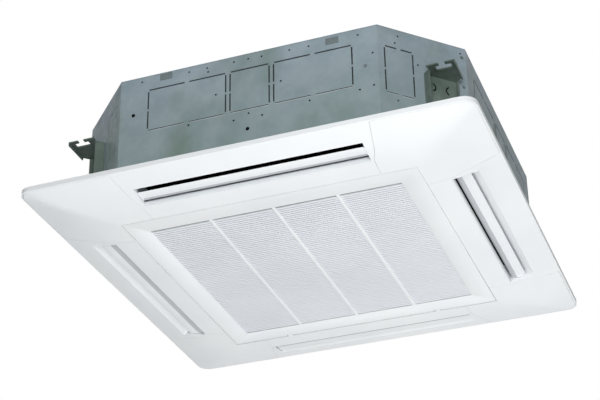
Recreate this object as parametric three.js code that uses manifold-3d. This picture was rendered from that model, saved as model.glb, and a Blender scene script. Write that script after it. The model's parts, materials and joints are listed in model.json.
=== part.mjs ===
// Ceiling cassette air conditioner with four air outlets: a sheet-metal casing
// that hangs above the ceiling on four hooks, and a white square panel below it.
//
// Millimetres, +Z up, +X right, -Y towards the front. The model is laid out from
// the ceiling plane (the top of the panel's rim) and is shifted at the end, so
// that the origin lies in the middle of the four hanger hooks, on the plane of
// their undersides.

import * as THREE from "three";
import { mergeVertices } from "three/addons/utils/BufferGeometryUtils.js";
import Module from "manifold-3d";

const wasm = await Module();
wasm.setup();

// ------------------------------------------------------------ driving sizes

const TOUCH = 0.3; // gap between two pieces that rest on each other

// Panel. Everything in plan is set in from its edge by named margins.
const PANEL_HALF = 475; // the panel is 950 square
const GRILLE_HALF = PANEL_HALF - 159;
const CASING_HALF = PANEL_HALF - 55;
const PANEL_DROP = 35; // from the ceiling down to the flat middle
const FACE_LOW = -PANEL_DROP;
const RIM_HEIGHT = 10;
const RIM_FLANGE = 13; // flat top of the rim, against the ceiling
const PANEL_RADIUS = 28;
const INNER_RADIUS = 8; // corner radius where the face turns flat
const FACE_POWER = 1.8; // how the face curves down from the rim
const FACE_RINGS = 5;
const CORNER_STEPS = 4;
const SKIN = 3; // moulded wall
const BASE_TOP = -1; // stiffening plate on the panel's back
const BASE_THICK = 3;
const SEAM = 0.5; // visible joint round a corner cover
const GRILLE_SEAM = 1; // visible joint round the intake grille
const OPENING_HALF = GRILLE_HALF + GRILLE_SEAM;
const FRAME_WALL = 2.5;

// Air outlets, one along each side
const LIP_OUTER = PANEL_HALF - 53; // opening in the face
const LIP_INNER = LIP_OUTER - 56;
const OUTLET_HALF = GRILLE_HALF - 76;
const THROAT_INNER = LIP_INNER - 21; // upright part of the duct
const THROAT_OUTER = THROAT_INNER + 48;
const DUCT_WALL = 2.5;
const DUCT_TOP = 12;

// Corner covers. The seam beside an outlet is [distance along the side, distance out].
const COVER_SEAM = [
  [OUTLET_HALF + 32, PANEL_HALF + 5],
  [OUTLET_HALF + 16, LIP_OUTER - 27],
  [OUTLET_HALF + 6, LIP_INNER + 2],
  [OUTLET_HALF + 5, OPENING_HALF],
];
const RIM_WALL = 3; // the rim runs on round the corners, outside the covers
const COVER_BOSS_RADIUS = 6;
const COVER_BOSS_PLACES = [GRILLE_HALF + 34, PANEL_HALF - 40];

// Flaps, laid out from the outlet's outer lip: [distance out, height]
const fromLip = (inwards, up) => [LIP_OUTER - inwards, FACE_LOW + up];
const FLAP_PIVOT = fromLip(36, 20);
const FLAP_INNER = fromLip(47.5, 12.5);
const FLAP_MIDDLE = fromLip(33, 10.4);
const FLAP_OUTER = fromLip(18, 12);
const FLAP_THICK = 2.6;
const FLAP_STEPS = 6;
const FLAP_END_GAP = 1.2;
const FLAP_PIN_RADIUS = 3;
const FLAP_ARM_THICK = 4;
const FLAP_ARM_HALF = 7;
const RUNNING_GAP = 0.4;
const BEARING_WALL = 2.6;
const BEARING_FLANGE = 2.5; // wider than the sleeve
const BEARING_SLEEVE = FLAP_PIN_RADIUS + RUNNING_GAP + BEARING_WALL;
const MOTOR_RADIUS = 10;
const MOTOR_LENGTH = 13;
const MOTOR_EAR = 17;

// Intake grille
const GRILLE_LIP = 2.5;
const GRILLE_LIP_TOP = -22;
const FIELD_COLUMNS = 4;
const RIB_WIDTH = 10;
const FIELD_HALF_X = GRILLE_HALF - 46;
const COLUMN_WIDTH = (2 * FIELD_HALF_X - (FIELD_COLUMNS - 1) * RIB_WIDTH) / FIELD_COLUMNS;
const FIELD_FRONT = -(GRILLE_HALF - 45);
const SLAT_PITCH = 12;
const SLAT_ROWS = Math.floor((-2 * FIELD_FRONT) / SLAT_PITCH);
const SLAT_GAP = 7.5;
const SLAT_DEPTH = 7;
const SLAT_LEAN = 6; // the top of each gap lies this much nearer the front
const BEAD_RADIUS = 4; // rounded back edge, on the hinge axis
const KNUCKLE_X = 180;
const KNUCKLE_WIDTH = 12;
const HINGE_PIN_RADIUS = 1.5;
const HINGE_PIN_HALF = 18;

// Air filter
const FILTER_HALF_X = GRILLE_HALF - 26;
const FILTER_FRONT = FIELD_FRONT + 1;
const FILTER_BACK = GRILLE_HALF - 16;
const FILTER_THICK = 6;
const FILTER_BAR = 10;
const FILTER_RIB = 3;
const FILTER_CELLS = 6;

// Grille catches
const CATCH_X = 150;
const CATCH_HALF = 14;
const CATCH_THICK = 3;
const CATCH_TRAVEL = 8;
const CATCH_BACK = FIELD_FRONT - 8;
const CATCH_TIP = -GRILLE_HALF + 0.6; // drawn back, inside the grille's lip
const CATCH_SEAT = 20; // length that rests on the grille
const CATCH_TAB = 8;
const CATCH_TAB_THICK = 3;
const CATCH_SLOT_GAP = 1.4;
const CATCH_NOTCH_SPARE = 5.6; // left behind the catch's tip in the frame
const CATCH_GUIDE_DEPTH = 14;
const CATCH_GUIDE_WALL = 2;
const CATCH_MARGIN = 4; // left between the tab and the guide at full travel
const CATCH_HEIGHT = FACE_LOW + 7; // middle of the sliding plate

// Casing
const CHAMFER_X = 141; // cut off each corner along X
const CHAMFER_Y = 147; // cut off each corner along Y
const CASING_FOOT = 4;
const CASING_TOP = 246;
const SHEET = 2;
const PLATE_SEAM_ALONG = 183; // seam on a chamfer, from the front or back face
const TOP_LIP = 12;
const LINER = 9;

// Knock-outs: lines punched through the sheet, with small bridges left
const PUNCH = 1.6;
const BRIDGE = 5;
const SIDE_KNOCKOUTS = [[-216, -43, 3], [-35, 51, 2], [59, 226, 3]]; // [from, to, bridges]
const SIDE_KNOCKOUT_Z = [111, 210];
const CHAMFER_KNOCKOUT = [14, 79, 3];
const CHAMFER_KNOCKOUT_Z = [90, 200];

// Hanger brackets on the chamfers, measured along the chamfer from the front face
const HOOK_HEIGHT = 154; // underside of the hooks above the ceiling
const HOOK_THICK = 3;
const WEB_FROM = 102;
const WEB_TO = 176;
const WEB_FOOT = 8;
const WEB_THICK = 2.5;
const LONG_FLANGE = 20;
const SHORT_FLANGE = 10;
const HOOK_EDGE_X = CASING_HALF;
const HOOK_EDGE_Y = CASING_HALF - 46;
const HOOK_FINGER_X = CASING_HALF - 59;
const HOOK_BACK_Y = CASING_HALF - 109;
const HOOK_LIP = 6;
const SLOT_MOUTH = [CASING_HALF - 34, CASING_HALF - 21];
const SLOT_BAR = [CASING_HALF - 42, CASING_HALF - 10];
const SLOT_NEAR = HOOK_EDGE_Y - 8;
const SLOT_FAR = SLOT_NEAR - 14;

// Heat exchanger
const COIL_OUTER = THROAT_INNER - 15;
const COIL_THICK = 45;
const COIL_RADIUS = 85;
const COIL_TOP = CASING_TOP - 10;
const COIL_OPEN_FROM = COIL_OUTER - 115; // the ring is open at the left back corner

// Foam drain pan
const PAN_TOP = 60;
const PAN_FLOOR = 24;
const TROUGH_MARGIN = 6; // from the coil to the trough's outer wall
const TROUGH_INNER = COIL_OUTER - COIL_THICK - 37;
const TROUGH_INNER_RADIUS = 60;
const PAN_HOLE_RADIUS = TROUGH_INNER - 36;

// Panel seal
const SEAL_INNER = THROAT_OUTER + 6;
const SEAL_OUTER = SEAL_INNER + 11;

// Bell mouth and fan
const BELL_RIM_RADIUS = PAN_HOLE_RADIUS + 14;
const BELL_THROAT_RADIUS = 148;
const BELL_WALL = 3;
const BELL_FOOT = CASING_FOOT - BELL_WALL;
const BELL_TOP = 68;
const BELL_STEPS = 4;
const FAN_RADIUS = COIL_OUTER - COIL_THICK - 50;
const FAN_INLET_RADIUS = BELL_THROAT_RADIUS + 10;
const FAN_FOOT = BELL_TOP - 6;
const FAN_BACK = CASING_TOP - 46;
const FAN_WALL = 3;
const FAN_BLADES = 7;
const BLADE_ROOT = FAN_INLET_RADIUS + 10;
const SHROUD_BACK = [ // [radius, height] of the shroud's face towards the blades
  [FAN_INLET_RADIUS + 5, FAN_FOOT + 16],
  [FAN_INLET_RADIUS + 24, FAN_FOOT + 29],
  [FAN_RADIUS, FAN_FOOT + 43],
];
const BLADE_SWEEP = 0.36; // radians that a blade leans back
const HUB_RADIUS = 20;
const HUB_TOP = FAN_BACK - 48;
const HUB_FOOT = HUB_TOP - 27;
const ROUND_STEPS = 28;

// Fan motor
const MOTOR_CAN_RADIUS = 68;
const MOTOR_CAN_FOOT = HUB_TOP + 14;
const MOTOR_CAN_TOP = CASING_TOP - 14;
const MOTOR_EARS = 3;
const MOTOR_EAR_RADIUS = MOTOR_CAN_RADIUS + 20;
const MOTOR_EAR_TOP = CASING_TOP - 20;
const MOTOR_EAR_THICK = 4;
const BUSH_RADIUS = 12;
const SHAFT_RADIUS = 6;
const SHAFT_FOOT = HUB_FOOT - 17;
const SHAFT_TOP = MOTOR_CAN_TOP - 12;
const NUT_RADIUS = 12;
const NUT_HEIGHT = 8;

// Control box below the drain pan, at the back of the grille's opening
const BOX_X = [-170, 170];
const BOX_Y = [PAN_HOLE_RADIUS + 2, OPENING_HALF - 9];
const BOX_Z = [FACE_LOW + 16, PAN_FLOOR - 10];
const BOX_WALL = 2;
const BOARD_THICK = 2;
const TERMINAL_SIZE = [70, 24, 16];

// Drain lift
const PUMP_X = -(COIL_OUTER - 24);
const PUMP_Y = COIL_OPEN_FROM + 41;
const PUMP_RADIUS = 30;
const PUMP_FOOT = PAN_FLOOR + 14;
const PUMP_TOP = PAN_TOP + 58;
const VOLUTE_RADIUS = 17;
const VOLUTE_WALL = 4;
const VOLUTE_TOP = PAN_TOP - 4;
const IMPELLER_RADIUS = 14;
const INLET_RADIUS = 9;
const FLOAT_X = PUMP_X - 6;
const FLOAT_Y = PUMP_Y + 58;
const STEM_RADIUS = 3;
const STEM_FOOT = PAN_FLOOR + 4;
const STOP_HEIGHT = 6;
const FLOAT_RADIUS = 11;
const FLOAT_FOOT = STEM_FOOT + STOP_HEIGHT;
const FLOAT_HEIGHT = 15;
const SWITCH_HEAD = [8, 9]; // half width and height
const BRACKET_Z = PAN_TOP + 46;
const BRACKET_HALF = 11;
const BRACKET_THICK = 3;
const HOSE_RADIUS = 9;
const HOSE_BORE = 6.5;
const HOSE_COLLAR = 10;
const DRAIN_X = PUMP_X + 48;
const DRAIN_Z = CASING_TOP - 54;
const SOCKET_BORE = 16.2; // takes a 32 mm drain pipe
const SOCKET_RADIUS = SOCKET_BORE + 3;
const SOCKET_FLANGE = 4;
const SOCKET_INSIDE = 14;
const SOCKET_REACH = 38; // beyond the casing

// Refrigerant pipes, through the back plate
const GAS_X = -(COIL_OPEN_FROM + 17);
const GAS_Y = COIL_OUTER - 10;
const GAS_Z = PAN_TOP + 36;
const GAS_RADIUS = 7.94; // 15.88 mm pipe
const LIQUID_X = GAS_X - 20;
const LIQUID_Y = GAS_Y - 23;
const LIQUID_Z = GAS_Z + 44;
const LIQUID_RADIUS = 4.76; // 9.52 mm pipe
const PIPE_BORE_SHARE = 0.84;
const PIPE_BORE_DEPTH = 30;
const PIPE_REACH = 28; // beyond the casing
const HEADER_Z = [PAN_FLOOR + 22, COIL_TOP - 22];
const HEADER_STUBS = [PAN_TOP + 10, PAN_TOP + 65, COIL_TOP - 46];
const STUB_RADIUS = 3.5;
const PIPE_WINDOW = [LIQUID_X - 19, GAS_X + 19, GAS_Z - 22, LIQUID_Z + 20]; // [x, x, z, z]
const PIPE_COVER_EDGE = 7;
const PIPE_COVER_THICK = 2;
const NUT_LENGTH = 21.7;

// -------------------------------------------------------------- materials

const finish = (color, roughness, metalness) =>
  new THREE.MeshStandardMaterial({ color, roughness, metalness });
const paint = {
  whitePlastic: () => finish(0xeef1f4, 0.45, 0),
  galvanised: () => finish(0x87928f, 0.45, 0.8),
  darkSteel: () => finish(0x3a423f, 0.5, 0.8),
  blackFoam: () => finish(0x17191a, 0.95, 0),
  greyPlastic: () => finish(0x9ea4a8, 0.55, 0),
  aluminium: () => finish(0xb9bec2, 0.4, 0.9),
  copper: () => finish(0xb87345, 0.35, 1),
  brass: () => finish(0xc2a14d, 0.35, 1),
  rubber: () => finish(0x202020, 0.9, 0),
  darkNet: () => finish(0x3d444a, 0.8, 0),
  green: () => finish(0x2c6a41, 0.6, 0),
};

// ---------------------------------------------------------- solid geometry

function toSolid(geometry) {
  const bare = new THREE.BufferGeometry();
  bare.setAttribute("position", geometry.getAttribute("position").clone());
  if (geometry.index) bare.setIndex(geometry.index.clone());
  const merged = mergeVertices(bare);
  const mesh = new wasm.Mesh({
    numProp: 3,
    vertProperties: Float32Array.from(merged.getAttribute("position").array),
    triVerts: Uint32Array.from(merged.index.array),
  });
  return new wasm.Manifold(mesh);
}

function toGeometry(solid) {
  const mesh = solid.getMesh();
  const geometry = new THREE.BufferGeometry();
  geometry.setAttribute("position", new THREE.BufferAttribute(mesh.vertProperties, 3));
  geometry.setIndex(new THREE.BufferAttribute(mesh.triVerts, 1));
  return geometry;
}

const join = (...parts) => toGeometry(parts.map(toSolid).reduce((a, b) => a.add(b)));
const cut = (body, ...tools) =>
  toGeometry(tools.map(toSolid).reduce((a, b) => a.subtract(b), toSolid(body)));
const common = (a, b) => toGeometry(toSolid(a).intersect(toSolid(b)));

function box(x0, x1, y0, y1, z0, z1) {
  const geometry = new THREE.BoxGeometry(x1 - x0, y1 - y0, z1 - z0);
  return geometry.translate((x0 + x1) / 2, (y0 + y1) / 2, (z0 + z1) / 2);
}

// Upright cylinder
function post(radius, z0, z1, x = 0, y = 0, steps = 12) {
  const geometry = new THREE.CylinderGeometry(radius, radius, z1 - z0, steps);
  return geometry.rotateX(Math.PI / 2).translate(x, y, (z0 + z1) / 2);
}

// Cylinder along X
function rodX(radius, x0, x1, y, z, steps = 12) {
  const geometry = new THREE.CylinderGeometry(radius, radius, x1 - x0, steps);
  return geometry.rotateZ(Math.PI / 2).translate((x0 + x1) / 2, y, z);
}

// Cylinder along Y
function rodY(radius, y0, y1, x, z, steps = 12) {
  const geometry = new THREE.CylinderGeometry(radius, radius, y1 - y0, steps);
  return geometry.translate(x, (y0 + y1) / 2, z);
}

// Outline in plan, extruded from z0 to z1
function plan(points, z0, z1) {
  const shape = new THREE.Shape(points.map(([x, y]) => new THREE.Vector2(x, y)));
  const geometry = new THREE.ExtrudeGeometry(shape, { depth: z1 - z0, bevelEnabled: false });
  return geometry.translate(0, 0, z0);
}

// Outline given as [distance out, height], run along X at the front of the unit
function frontBar(points, from, to) {
  const shape = new THREE.Shape(points.map(([out, z]) => new THREE.Vector2(out, z)));
  const geometry = new THREE.ExtrudeGeometry(shape, { depth: to - from, bevelEnabled: false });
  geometry.translate(0, 0, -to);
  const basis = new THREE.Matrix4().makeBasis(
    new THREE.Vector3(0, -1, 0),
    new THREE.Vector3(0, 0, 1),
    new THREE.Vector3(-1, 0, 0),
  );
  return geometry.applyMatrix4(basis);
}

// Profile given as [radius, height], turned about Z; its outer side has to run upwards
function turnedProfile(points, steps = ROUND_STEPS) {
  const profile = points.map(([r, z]) => new THREE.Vector2(r, z));
  if (THREE.ShapeUtils.area(profile) < 0) profile.reverse();
  return new THREE.LatheGeometry(profile, steps).rotateX(Math.PI / 2);
}

const quarter = (geometry, turns) => geometry.clone().rotateZ((turns * Math.PI) / 2);
const everySide = (geometry) => [0, 1, 2, 3].map((turns) => quarter(geometry, turns));

// Mirror image: sx and sy are 1 or -1
function mirrored(geometry, sx, sy) {
  const copy = mergeVertices(toGeometry(toSolid(geometry))).scale(sx, sy, 1);
  if (sx * sy < 0) {
    const index = copy.index.array;
    for (let i = 0; i < index.length; i += 3) {
      [index[i + 1], index[i + 2]] = [index[i + 2], index[i + 1]];
    }
  }
  return copy;
}

// Square with rounded corners, as a ring of points at height z
function squareRing(half, radius, z, steps = CORNER_STEPS) {
  const points = [];
  const centre = half - radius;
  for (let corner = 0; corner < 4; corner += 1) {
    const start = (corner * Math.PI) / 2;
    const cx = corner === 0 || corner === 3 ? centre : -centre;
    const cy = corner < 2 ? centre : -centre;
    for (let step = 0; step <= steps; step += 1) {
      const angle = start + (step / steps) * (Math.PI / 2);
      points.push([cx + radius * Math.cos(angle), cy + radius * Math.sin(angle), z]);
    }
  }
  return points;
}

// Closed solid through a stack of rings, lowest first
function stack(rings) {
  const count = rings[0].length;
  const positions = rings.flat(2);
  const index = [];
  const low = positions.length / 3;
  positions.push(0, 0, rings[0][0][2]);
  const high = positions.length / 3;
  positions.push(0, 0, rings.at(-1)[0][2]);
  for (let i = 0; i < count; i += 1) {
    const next = (i + 1) % count;
    index.push(low, next, i);
    const top = (rings.length - 1) * count;
    index.push(high, top + i, top + next);
    for (let k = 0; k + 1 < rings.length; k += 1) {
      const a = k * count + i;
      const b = k * count + next;
      index.push(a, b, b + count, a, b + count, a + count);
    }
  }
  const geometry = new THREE.BufferGeometry();
  geometry.setAttribute("position", new THREE.Float32BufferAttribute(positions, 3));
  geometry.setIndex(index);
  return geometry;
}

const roundedBlock = (half, radius, z0, z1) =>
  stack([squareRing(half, radius, z0), squareRing(half, radius, z1)]);

// ------------------------------------------------------------- assembly

const unit = new THREE.Group();
unit.position.z = -HOOK_HEIGHT;

function add(name, geometry, material, parent = unit) {
  const mesh = new THREE.Mesh(geometry, material);
  mesh.name = name;
  parent.add(mesh);
  return mesh;
}

const SIDES = ["front", "right", "back", "left"];

// ------------------------------------------------------------- the panel

const UNDER = FACE_LOW - 20; // cutters start below the face
const BASE_FOOT = BASE_TOP - BASE_THICK;

// Height of the panel's face at a distance out from the middle
function faceHeight(out) {
  const share = Math.max(0, (out - GRILLE_HALF) / (PANEL_HALF - GRILLE_HALF));
  return FACE_LOW + (PANEL_DROP - RIM_HEIGHT) * share ** FACE_POWER;
}

function dish(inset, top) {
  const rings = [];
  for (let i = 0; i <= FACE_RINGS; i += 1) {
    const share = i / FACE_RINGS;
    const out = GRILLE_HALF + (PANEL_HALF - GRILLE_HALF) * share;
    const radius = INNER_RADIUS + (PANEL_RADIUS - INNER_RADIUS) * share;
    rings.push(squareRing(out - inset, Math.max(1, radius - inset), faceHeight(out) + inset));
  }
  rings.push(squareRing(PANEL_HALF - inset, Math.max(1, PANEL_RADIUS - inset), top));
  return stack(rings);
}

const panelOuter = dish(0, 0);
const panelShell = cut(panelOuter, dish(SKIN, 5));

// Place of one corner cover, at the front right, grown outwards by the width of its seam
function coverPlace(seam, top) {
  const line = COVER_SEAM.map(([along, out]) => [along - seam, out]);
  line[line.length - 1][1] -= seam;
  const corner = OPENING_HALF - seam;
  const beside = line.map(([along, out]) => [along, -out]);
  const across = line.map(([along, out]) => [out, -along]).reverse();
  const far = COVER_SEAM[0][1];
  const outline = plan([...beside, [corner, -corner], ...across, [far, -far]], UNDER, top);
  const inRim = PANEL_HALF - RIM_WALL - SEAM + seam;
  return common(outline, roundedBlock(inRim, PANEL_RADIUS - RIM_WALL, UNDER - 1, top + 1));
}

// Air path of one outlet, at the front
function ductOutline(wall, foot, top) {
  return [
    [LIP_INNER - wall, foot],
    [LIP_INNER - wall, faceHeight(LIP_INNER)],
    [THROAT_INNER - wall, BASE_FOOT],
    [THROAT_INNER - wall, top],
    [THROAT_OUTER + wall, top],
    [THROAT_OUTER + wall, BASE_FOOT],
    [LIP_OUTER + wall, faceHeight(LIP_OUTER) + wall],
    [LIP_OUTER + wall, foot],
  ];
}

function panelFrame() {
  const inner = OPENING_HALF;
  const below = UNDER;
  const opening = box(-inner, inner, -inner, inner, below, DUCT_TOP + 5);
  const strips = cut(panelShell, opening, ...everySide(coverPlace(SEAM, BASE_FOOT)));
  const flangeFrom = PANEL_HALF - RIM_FLANGE;
  const flange = cut(
    common(panelOuter, box(-PANEL_HALF, PANEL_HALF, -PANEL_HALF, PANEL_HALF, -SKIN, 0)),
    box(-flangeFrom, flangeFrom, -flangeFrom, flangeFrom, -SKIN - 1, 1),
  );

  // The stiffening plate and the wall round the opening run on behind the corner covers
  const plate = roundedBlock(PANEL_HALF - 1, PANEL_RADIUS - 1, BASE_FOOT, BASE_TOP);
  const wall = box(
    -inner - FRAME_WALL, inner + FRAME_WALL, -inner - FRAME_WALL, inner + FRAME_WALL,
    FACE_LOW + SKIN / 2, BASE_TOP,
  );
  const ring = cut(
    join(plate, wall), opening, ...everySide(coverPlace(SEAM, FACE_LOW + SKIN + 2 * TOUCH)),
  );

  // Outlet ducts
  const end = OUTLET_HALF + DUCT_WALL;
  const ductBody = common(frontBar(ductOutline(DUCT_WALL, below, 0), -end, end), panelOuter);
  const spigot = frontBar(
    [[THROAT_INNER - DUCT_WALL, BASE_FOOT - 1], [THROAT_INNER - DUCT_WALL, DUCT_TOP],
      [THROAT_OUTER + DUCT_WALL, DUCT_TOP], [THROAT_OUTER + DUCT_WALL, BASE_FOOT - 1]],
    -end, end,
  );
  const ducts = everySide(join(ductBody, spigot));
  const airPath = frontBar(ductOutline(0, below, DUCT_TOP + 5), -OUTLET_HALF, OUTLET_HALF);
  const [pivotOut, pivotZ] = FLAP_PIVOT;
  const pinHole = rodX(
    FLAP_PIN_RADIUS + RUNNING_GAP, OUTLET_HALF - 1, end + 1, -pivotOut, pivotZ,
  );
  const bearingHole = rodX(
    BEARING_SLEEVE + TOUCH, -end - 1, -OUTLET_HALF + 1, -pivotOut, pivotZ,
  );

  // Knuckles of the grille's hinge, on the back edge
  const knuckles = [-KNUCKLE_X, KNUCKLE_X].map((x) => {
    const half = KNUCKLE_WIDTH / 2;
    const tie = box(x - half, x + half, HINGE_Y, inner + 1, FACE_LOW, HINGE_Z + BEAD_RADIUS - 1);
    const round = rodX(BEAD_RADIUS - 0.1, x - half, x + half, HINGE_Y, HINGE_Z, 16);
    const bore = rodX(HINGE_PIN_RADIUS + TOUCH, x - half - 1, x + half + 1, HINGE_Y, HINGE_Z);
    return cut(join(tie, round), bore);
  });

  // Notches that take the grille's two catches, open at the top
  const notchHalf = CATCH_HALF + CATCH_SLOT_GAP;
  const catchNotches = [-CATCH_X, CATCH_X].map((x) => box(
    x - notchHalf, x + notchHalf, CATCH_TIP - CATCH_TRAVEL - CATCH_NOTCH_SPARE, -inner + 1,
    CATCH_HEIGHT - CATCH_THICK / 2 - CATCH_SLOT_GAP, BASE_TOP + 1,
  ));

  const solid = join(strips, flange, ring, ...ducts);
  const open = cut(
    solid, ...everySide(airPath), ...everySide(pinHole), ...everySide(bearingHole), ...catchNotches,
  );
  return join(open, ...knuckles);
}

function cornerCover() {
  const skin = common(panelShell, coverPlace(0, BASE_FOOT));
  const bosses = COVER_BOSS_PLACES.map((place) => {
    const foot = faceHeight(place) + SKIN - 1;
    return post(COVER_BOSS_RADIUS, foot, BASE_FOOT - TOUCH, place, -place, 8);
  });
  return join(skin, ...bosses);
}

// ---------------------------------------------------------- flaps and drives

// Curved blade through three points [out, height], FLAP_THICK deep
function flapOutline() {
  const curve = new THREE.QuadraticBezierCurve(
    new THREE.Vector2(...FLAP_INNER),
    new THREE.Vector2(
      2 * FLAP_MIDDLE[0] - (FLAP_INNER[0] + FLAP_OUTER[0]) / 2,
      2 * FLAP_MIDDLE[1] - (FLAP_INNER[1] + FLAP_OUTER[1]) / 2,
    ),
    new THREE.Vector2(...FLAP_OUTER),
  );
  const low = curve.getPoints(FLAP_STEPS).map((p) => [p.x, p.y]);
  const high = low.map(([out, z]) => [out, z + FLAP_THICK]).reverse();
  return [...low, ...high];
}

function flap() {
  const [pivotOut, pivotZ] = FLAP_PIVOT;
  const end = OUTLET_HALF - FLAP_END_GAP;
  const blade = frontBar(flapOutline(), -end, end);
  const arms = [-1, 1].map((side) => {
    const from = side > 0 ? end - FLAP_ARM_THICK : -end;
    const foot = FLAP_MIDDLE[1] + FLAP_THICK / 2;
    return frontBar(
      [[pivotOut - FLAP_ARM_HALF, foot], [pivotOut - FLAP_PIN_RADIUS - 1, pivotZ + 4],
        [pivotOut + FLAP_PIN_RADIUS + 1, pivotZ + 4], [pivotOut + FLAP_ARM_HALF, foot]],
      from, from + FLAP_ARM_THICK,
    );
  });
  const reach = OUTLET_HALF + DUCT_WALL;
  const pin = (from, to) => rodX(FLAP_PIN_RADIUS, from, to, -pivotOut, pivotZ);
  const pins = [pin(-reach - 1, -end + 1), pin(end - 1, reach)];
  return join(blade, ...arms, ...pins);
}

function flapMotor() {
  const [pivotOut, pivotZ] = FLAP_PIVOT;
  const from = OUTLET_HALF + DUCT_WALL + TOUCH;
  const can = rodX(MOTOR_RADIUS, from, from + MOTOR_LENGTH, -pivotOut, pivotZ, 16);
  const ear = frontBar(
    [[pivotOut - MOTOR_EAR, pivotZ - 4], [pivotOut - MOTOR_EAR, pivotZ + 4],
      [pivotOut + MOTOR_EAR, pivotZ + 4], [pivotOut + MOTOR_EAR, pivotZ - 4]],
    from, from + 2,
  );
  return join(can, ear);
}

function flapBearing() {
  const [pivotOut, pivotZ] = FLAP_PIVOT;
  const wall = -OUTLET_HALF - DUCT_WALL;
  const sleeve = rodX(BEARING_SLEEVE, wall - TOUCH - 1, -OUTLET_HALF, -pivotOut, pivotZ);
  const flange = rodX(
    BEARING_SLEEVE + BEARING_FLANGE, wall - TOUCH - 2, wall - TOUCH, -pivotOut, pivotZ,
  );
  const bore = rodX(
    FLAP_PIN_RADIUS + RUNNING_GAP, wall - TOUCH - 3, -OUTLET_HALF + 1, -pivotOut, pivotZ,
  );
  return cut(join(sleeve, flange), bore);
}

// ---------------------------------------------------------- intake grille

const HINGE_Y = GRILLE_HALF - BEAD_RADIUS;
const HINGE_Z = FACE_LOW + BEAD_RADIUS;
const FIELD_BACK = FIELD_FRONT + SLAT_ROWS * SLAT_PITCH + (SLAT_PITCH - SLAT_GAP);
const SLAT_TOP = FACE_LOW + SLAT_DEPTH;

// One slanted gap between two slats, past both faces
function slatGap(x0, y) {
  const over = 1;
  const lean = SLAT_LEAN / SLAT_DEPTH;
  const at = (z) => y - lean * (z - FACE_LOW);
  const low = FACE_LOW - over;
  const high = SLAT_TOP + over;
  return frontBar(
    [[-at(low), low], [-at(high), high], [-at(high) - SLAT_GAP, high], [-at(low) - SLAT_GAP, low]],
    x0, x0 + COLUMN_WIDTH,
  );
}

function intakeGrille() {
  const half = GRILLE_HALF;
  const plate = box(-half, half, -half, HINGE_Y, FACE_LOW, FACE_LOW + SKIN);
  const lipOuter = box(-half, half, -half, HINGE_Y - GRILLE_LIP, FACE_LOW, GRILLE_LIP_TOP);
  const lipInner = box(
    -half + GRILLE_LIP, half - GRILLE_LIP, -half + GRILLE_LIP, HINGE_Y - 2 * GRILLE_LIP,
    FACE_LOW - 1, GRILLE_LIP_TOP + 1,
  );
  const field = box(
    -FIELD_HALF_X - 4, FIELD_HALF_X + 4, FIELD_FRONT - 4, FIELD_BACK + 4, FACE_LOW, SLAT_TOP,
  );
  const bead = rodX(BEAD_RADIUS, -half, half, HINGE_Y, HINGE_Z, 16);
  const guideBack = CATCH_BACK - CATCH_TAB_THICK - CATCH_TRAVEL - CATCH_MARGIN;
  const guideFront = guideBack - CATCH_GUIDE_DEPTH;
  const guideTop = CATCH_HEIGHT + CATCH_THICK / 2 + RUNNING_GAP;
  const guides = [-CATCH_X, CATCH_X].map((x) => {
    const reach = CATCH_HALF + RUNNING_GAP;
    return cut(
      box(
        x - reach - CATCH_GUIDE_WALL, x + reach + CATCH_GUIDE_WALL, guideFront, guideBack,
        FACE_LOW, guideTop + CATCH_GUIDE_WALL,
      ),
      box(x - reach, x + reach, guideFront - 1, guideBack + 1, FACE_LOW + SKIN, guideTop),
    );
  });
  const body = join(plate, cut(lipOuter, lipInner), field, bead, ...guides);

  const gaps = [];
  for (let column = 0; column < FIELD_COLUMNS; column += 1) {
    const x0 = -FIELD_HALF_X + column * (COLUMN_WIDTH + RIB_WIDTH);
    for (let row = 0; row < SLAT_ROWS; row += 1) {
      gaps.push(slatGap(x0, FIELD_FRONT + row * SLAT_PITCH));
    }
  }
  const notches = [-KNUCKLE_X, KNUCKLE_X].map((x) => {
    const reach = KNUCKLE_WIDTH / 2 + CATCH_SLOT_GAP;
    return box(x - reach, x + reach, HINGE_Y - BEAD_RADIUS - 1, half + 1, FACE_LOW - 1, GRILLE_LIP_TOP + 1);
  });
  const bores = [-KNUCKLE_X, KNUCKLE_X].map((x) => rodX(
    HINGE_PIN_RADIUS + RUNNING_GAP, x - HINGE_PIN_HALF - 1, x + HINGE_PIN_HALF + 1, HINGE_Y, HINGE_Z,
  ));
  const slotHalf = CATCH_HALF + CATCH_SLOT_GAP;
  const catchSlots = [-CATCH_X, CATCH_X].map((x) => box(
    x - slotHalf, x + slotHalf, -half - 1, -half + GRILLE_LIP + 1,
    CATCH_HEIGHT - CATCH_THICK / 2 - CATCH_SLOT_GAP, CATCH_HEIGHT + CATCH_THICK / 2 + CATCH_SLOT_GAP,
  ));
  return cut(body, ...gaps, ...notches, ...bores, ...catchSlots);
}

const hingePin = (x) =>
  rodX(HINGE_PIN_RADIUS, x - HINGE_PIN_HALF, x + HINGE_PIN_HALF, HINGE_Y, HINGE_Z);

// Sliding catch: a plate on the grille's back with a finger tab
function grilleCatch(x) {
  const foot = CATCH_HEIGHT - CATCH_THICK / 2;
  const plate = box(
    x - CATCH_HALF, x + CATCH_HALF, CATCH_TIP, CATCH_BACK, foot, foot + CATCH_THICK,
  );
  const seat = box(
    x - CATCH_HALF, x + CATCH_HALF, CATCH_BACK - CATCH_SEAT, CATCH_BACK,
    FACE_LOW + SKIN + TOUCH, foot + 1,
  );
  const tab = box(
    x - CATCH_HALF / 2, x + CATCH_HALF / 2, CATCH_BACK - CATCH_TAB_THICK, CATCH_BACK,
    foot, foot + CATCH_TAB,
  );
  return join(plate, seat, tab);
}

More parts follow.
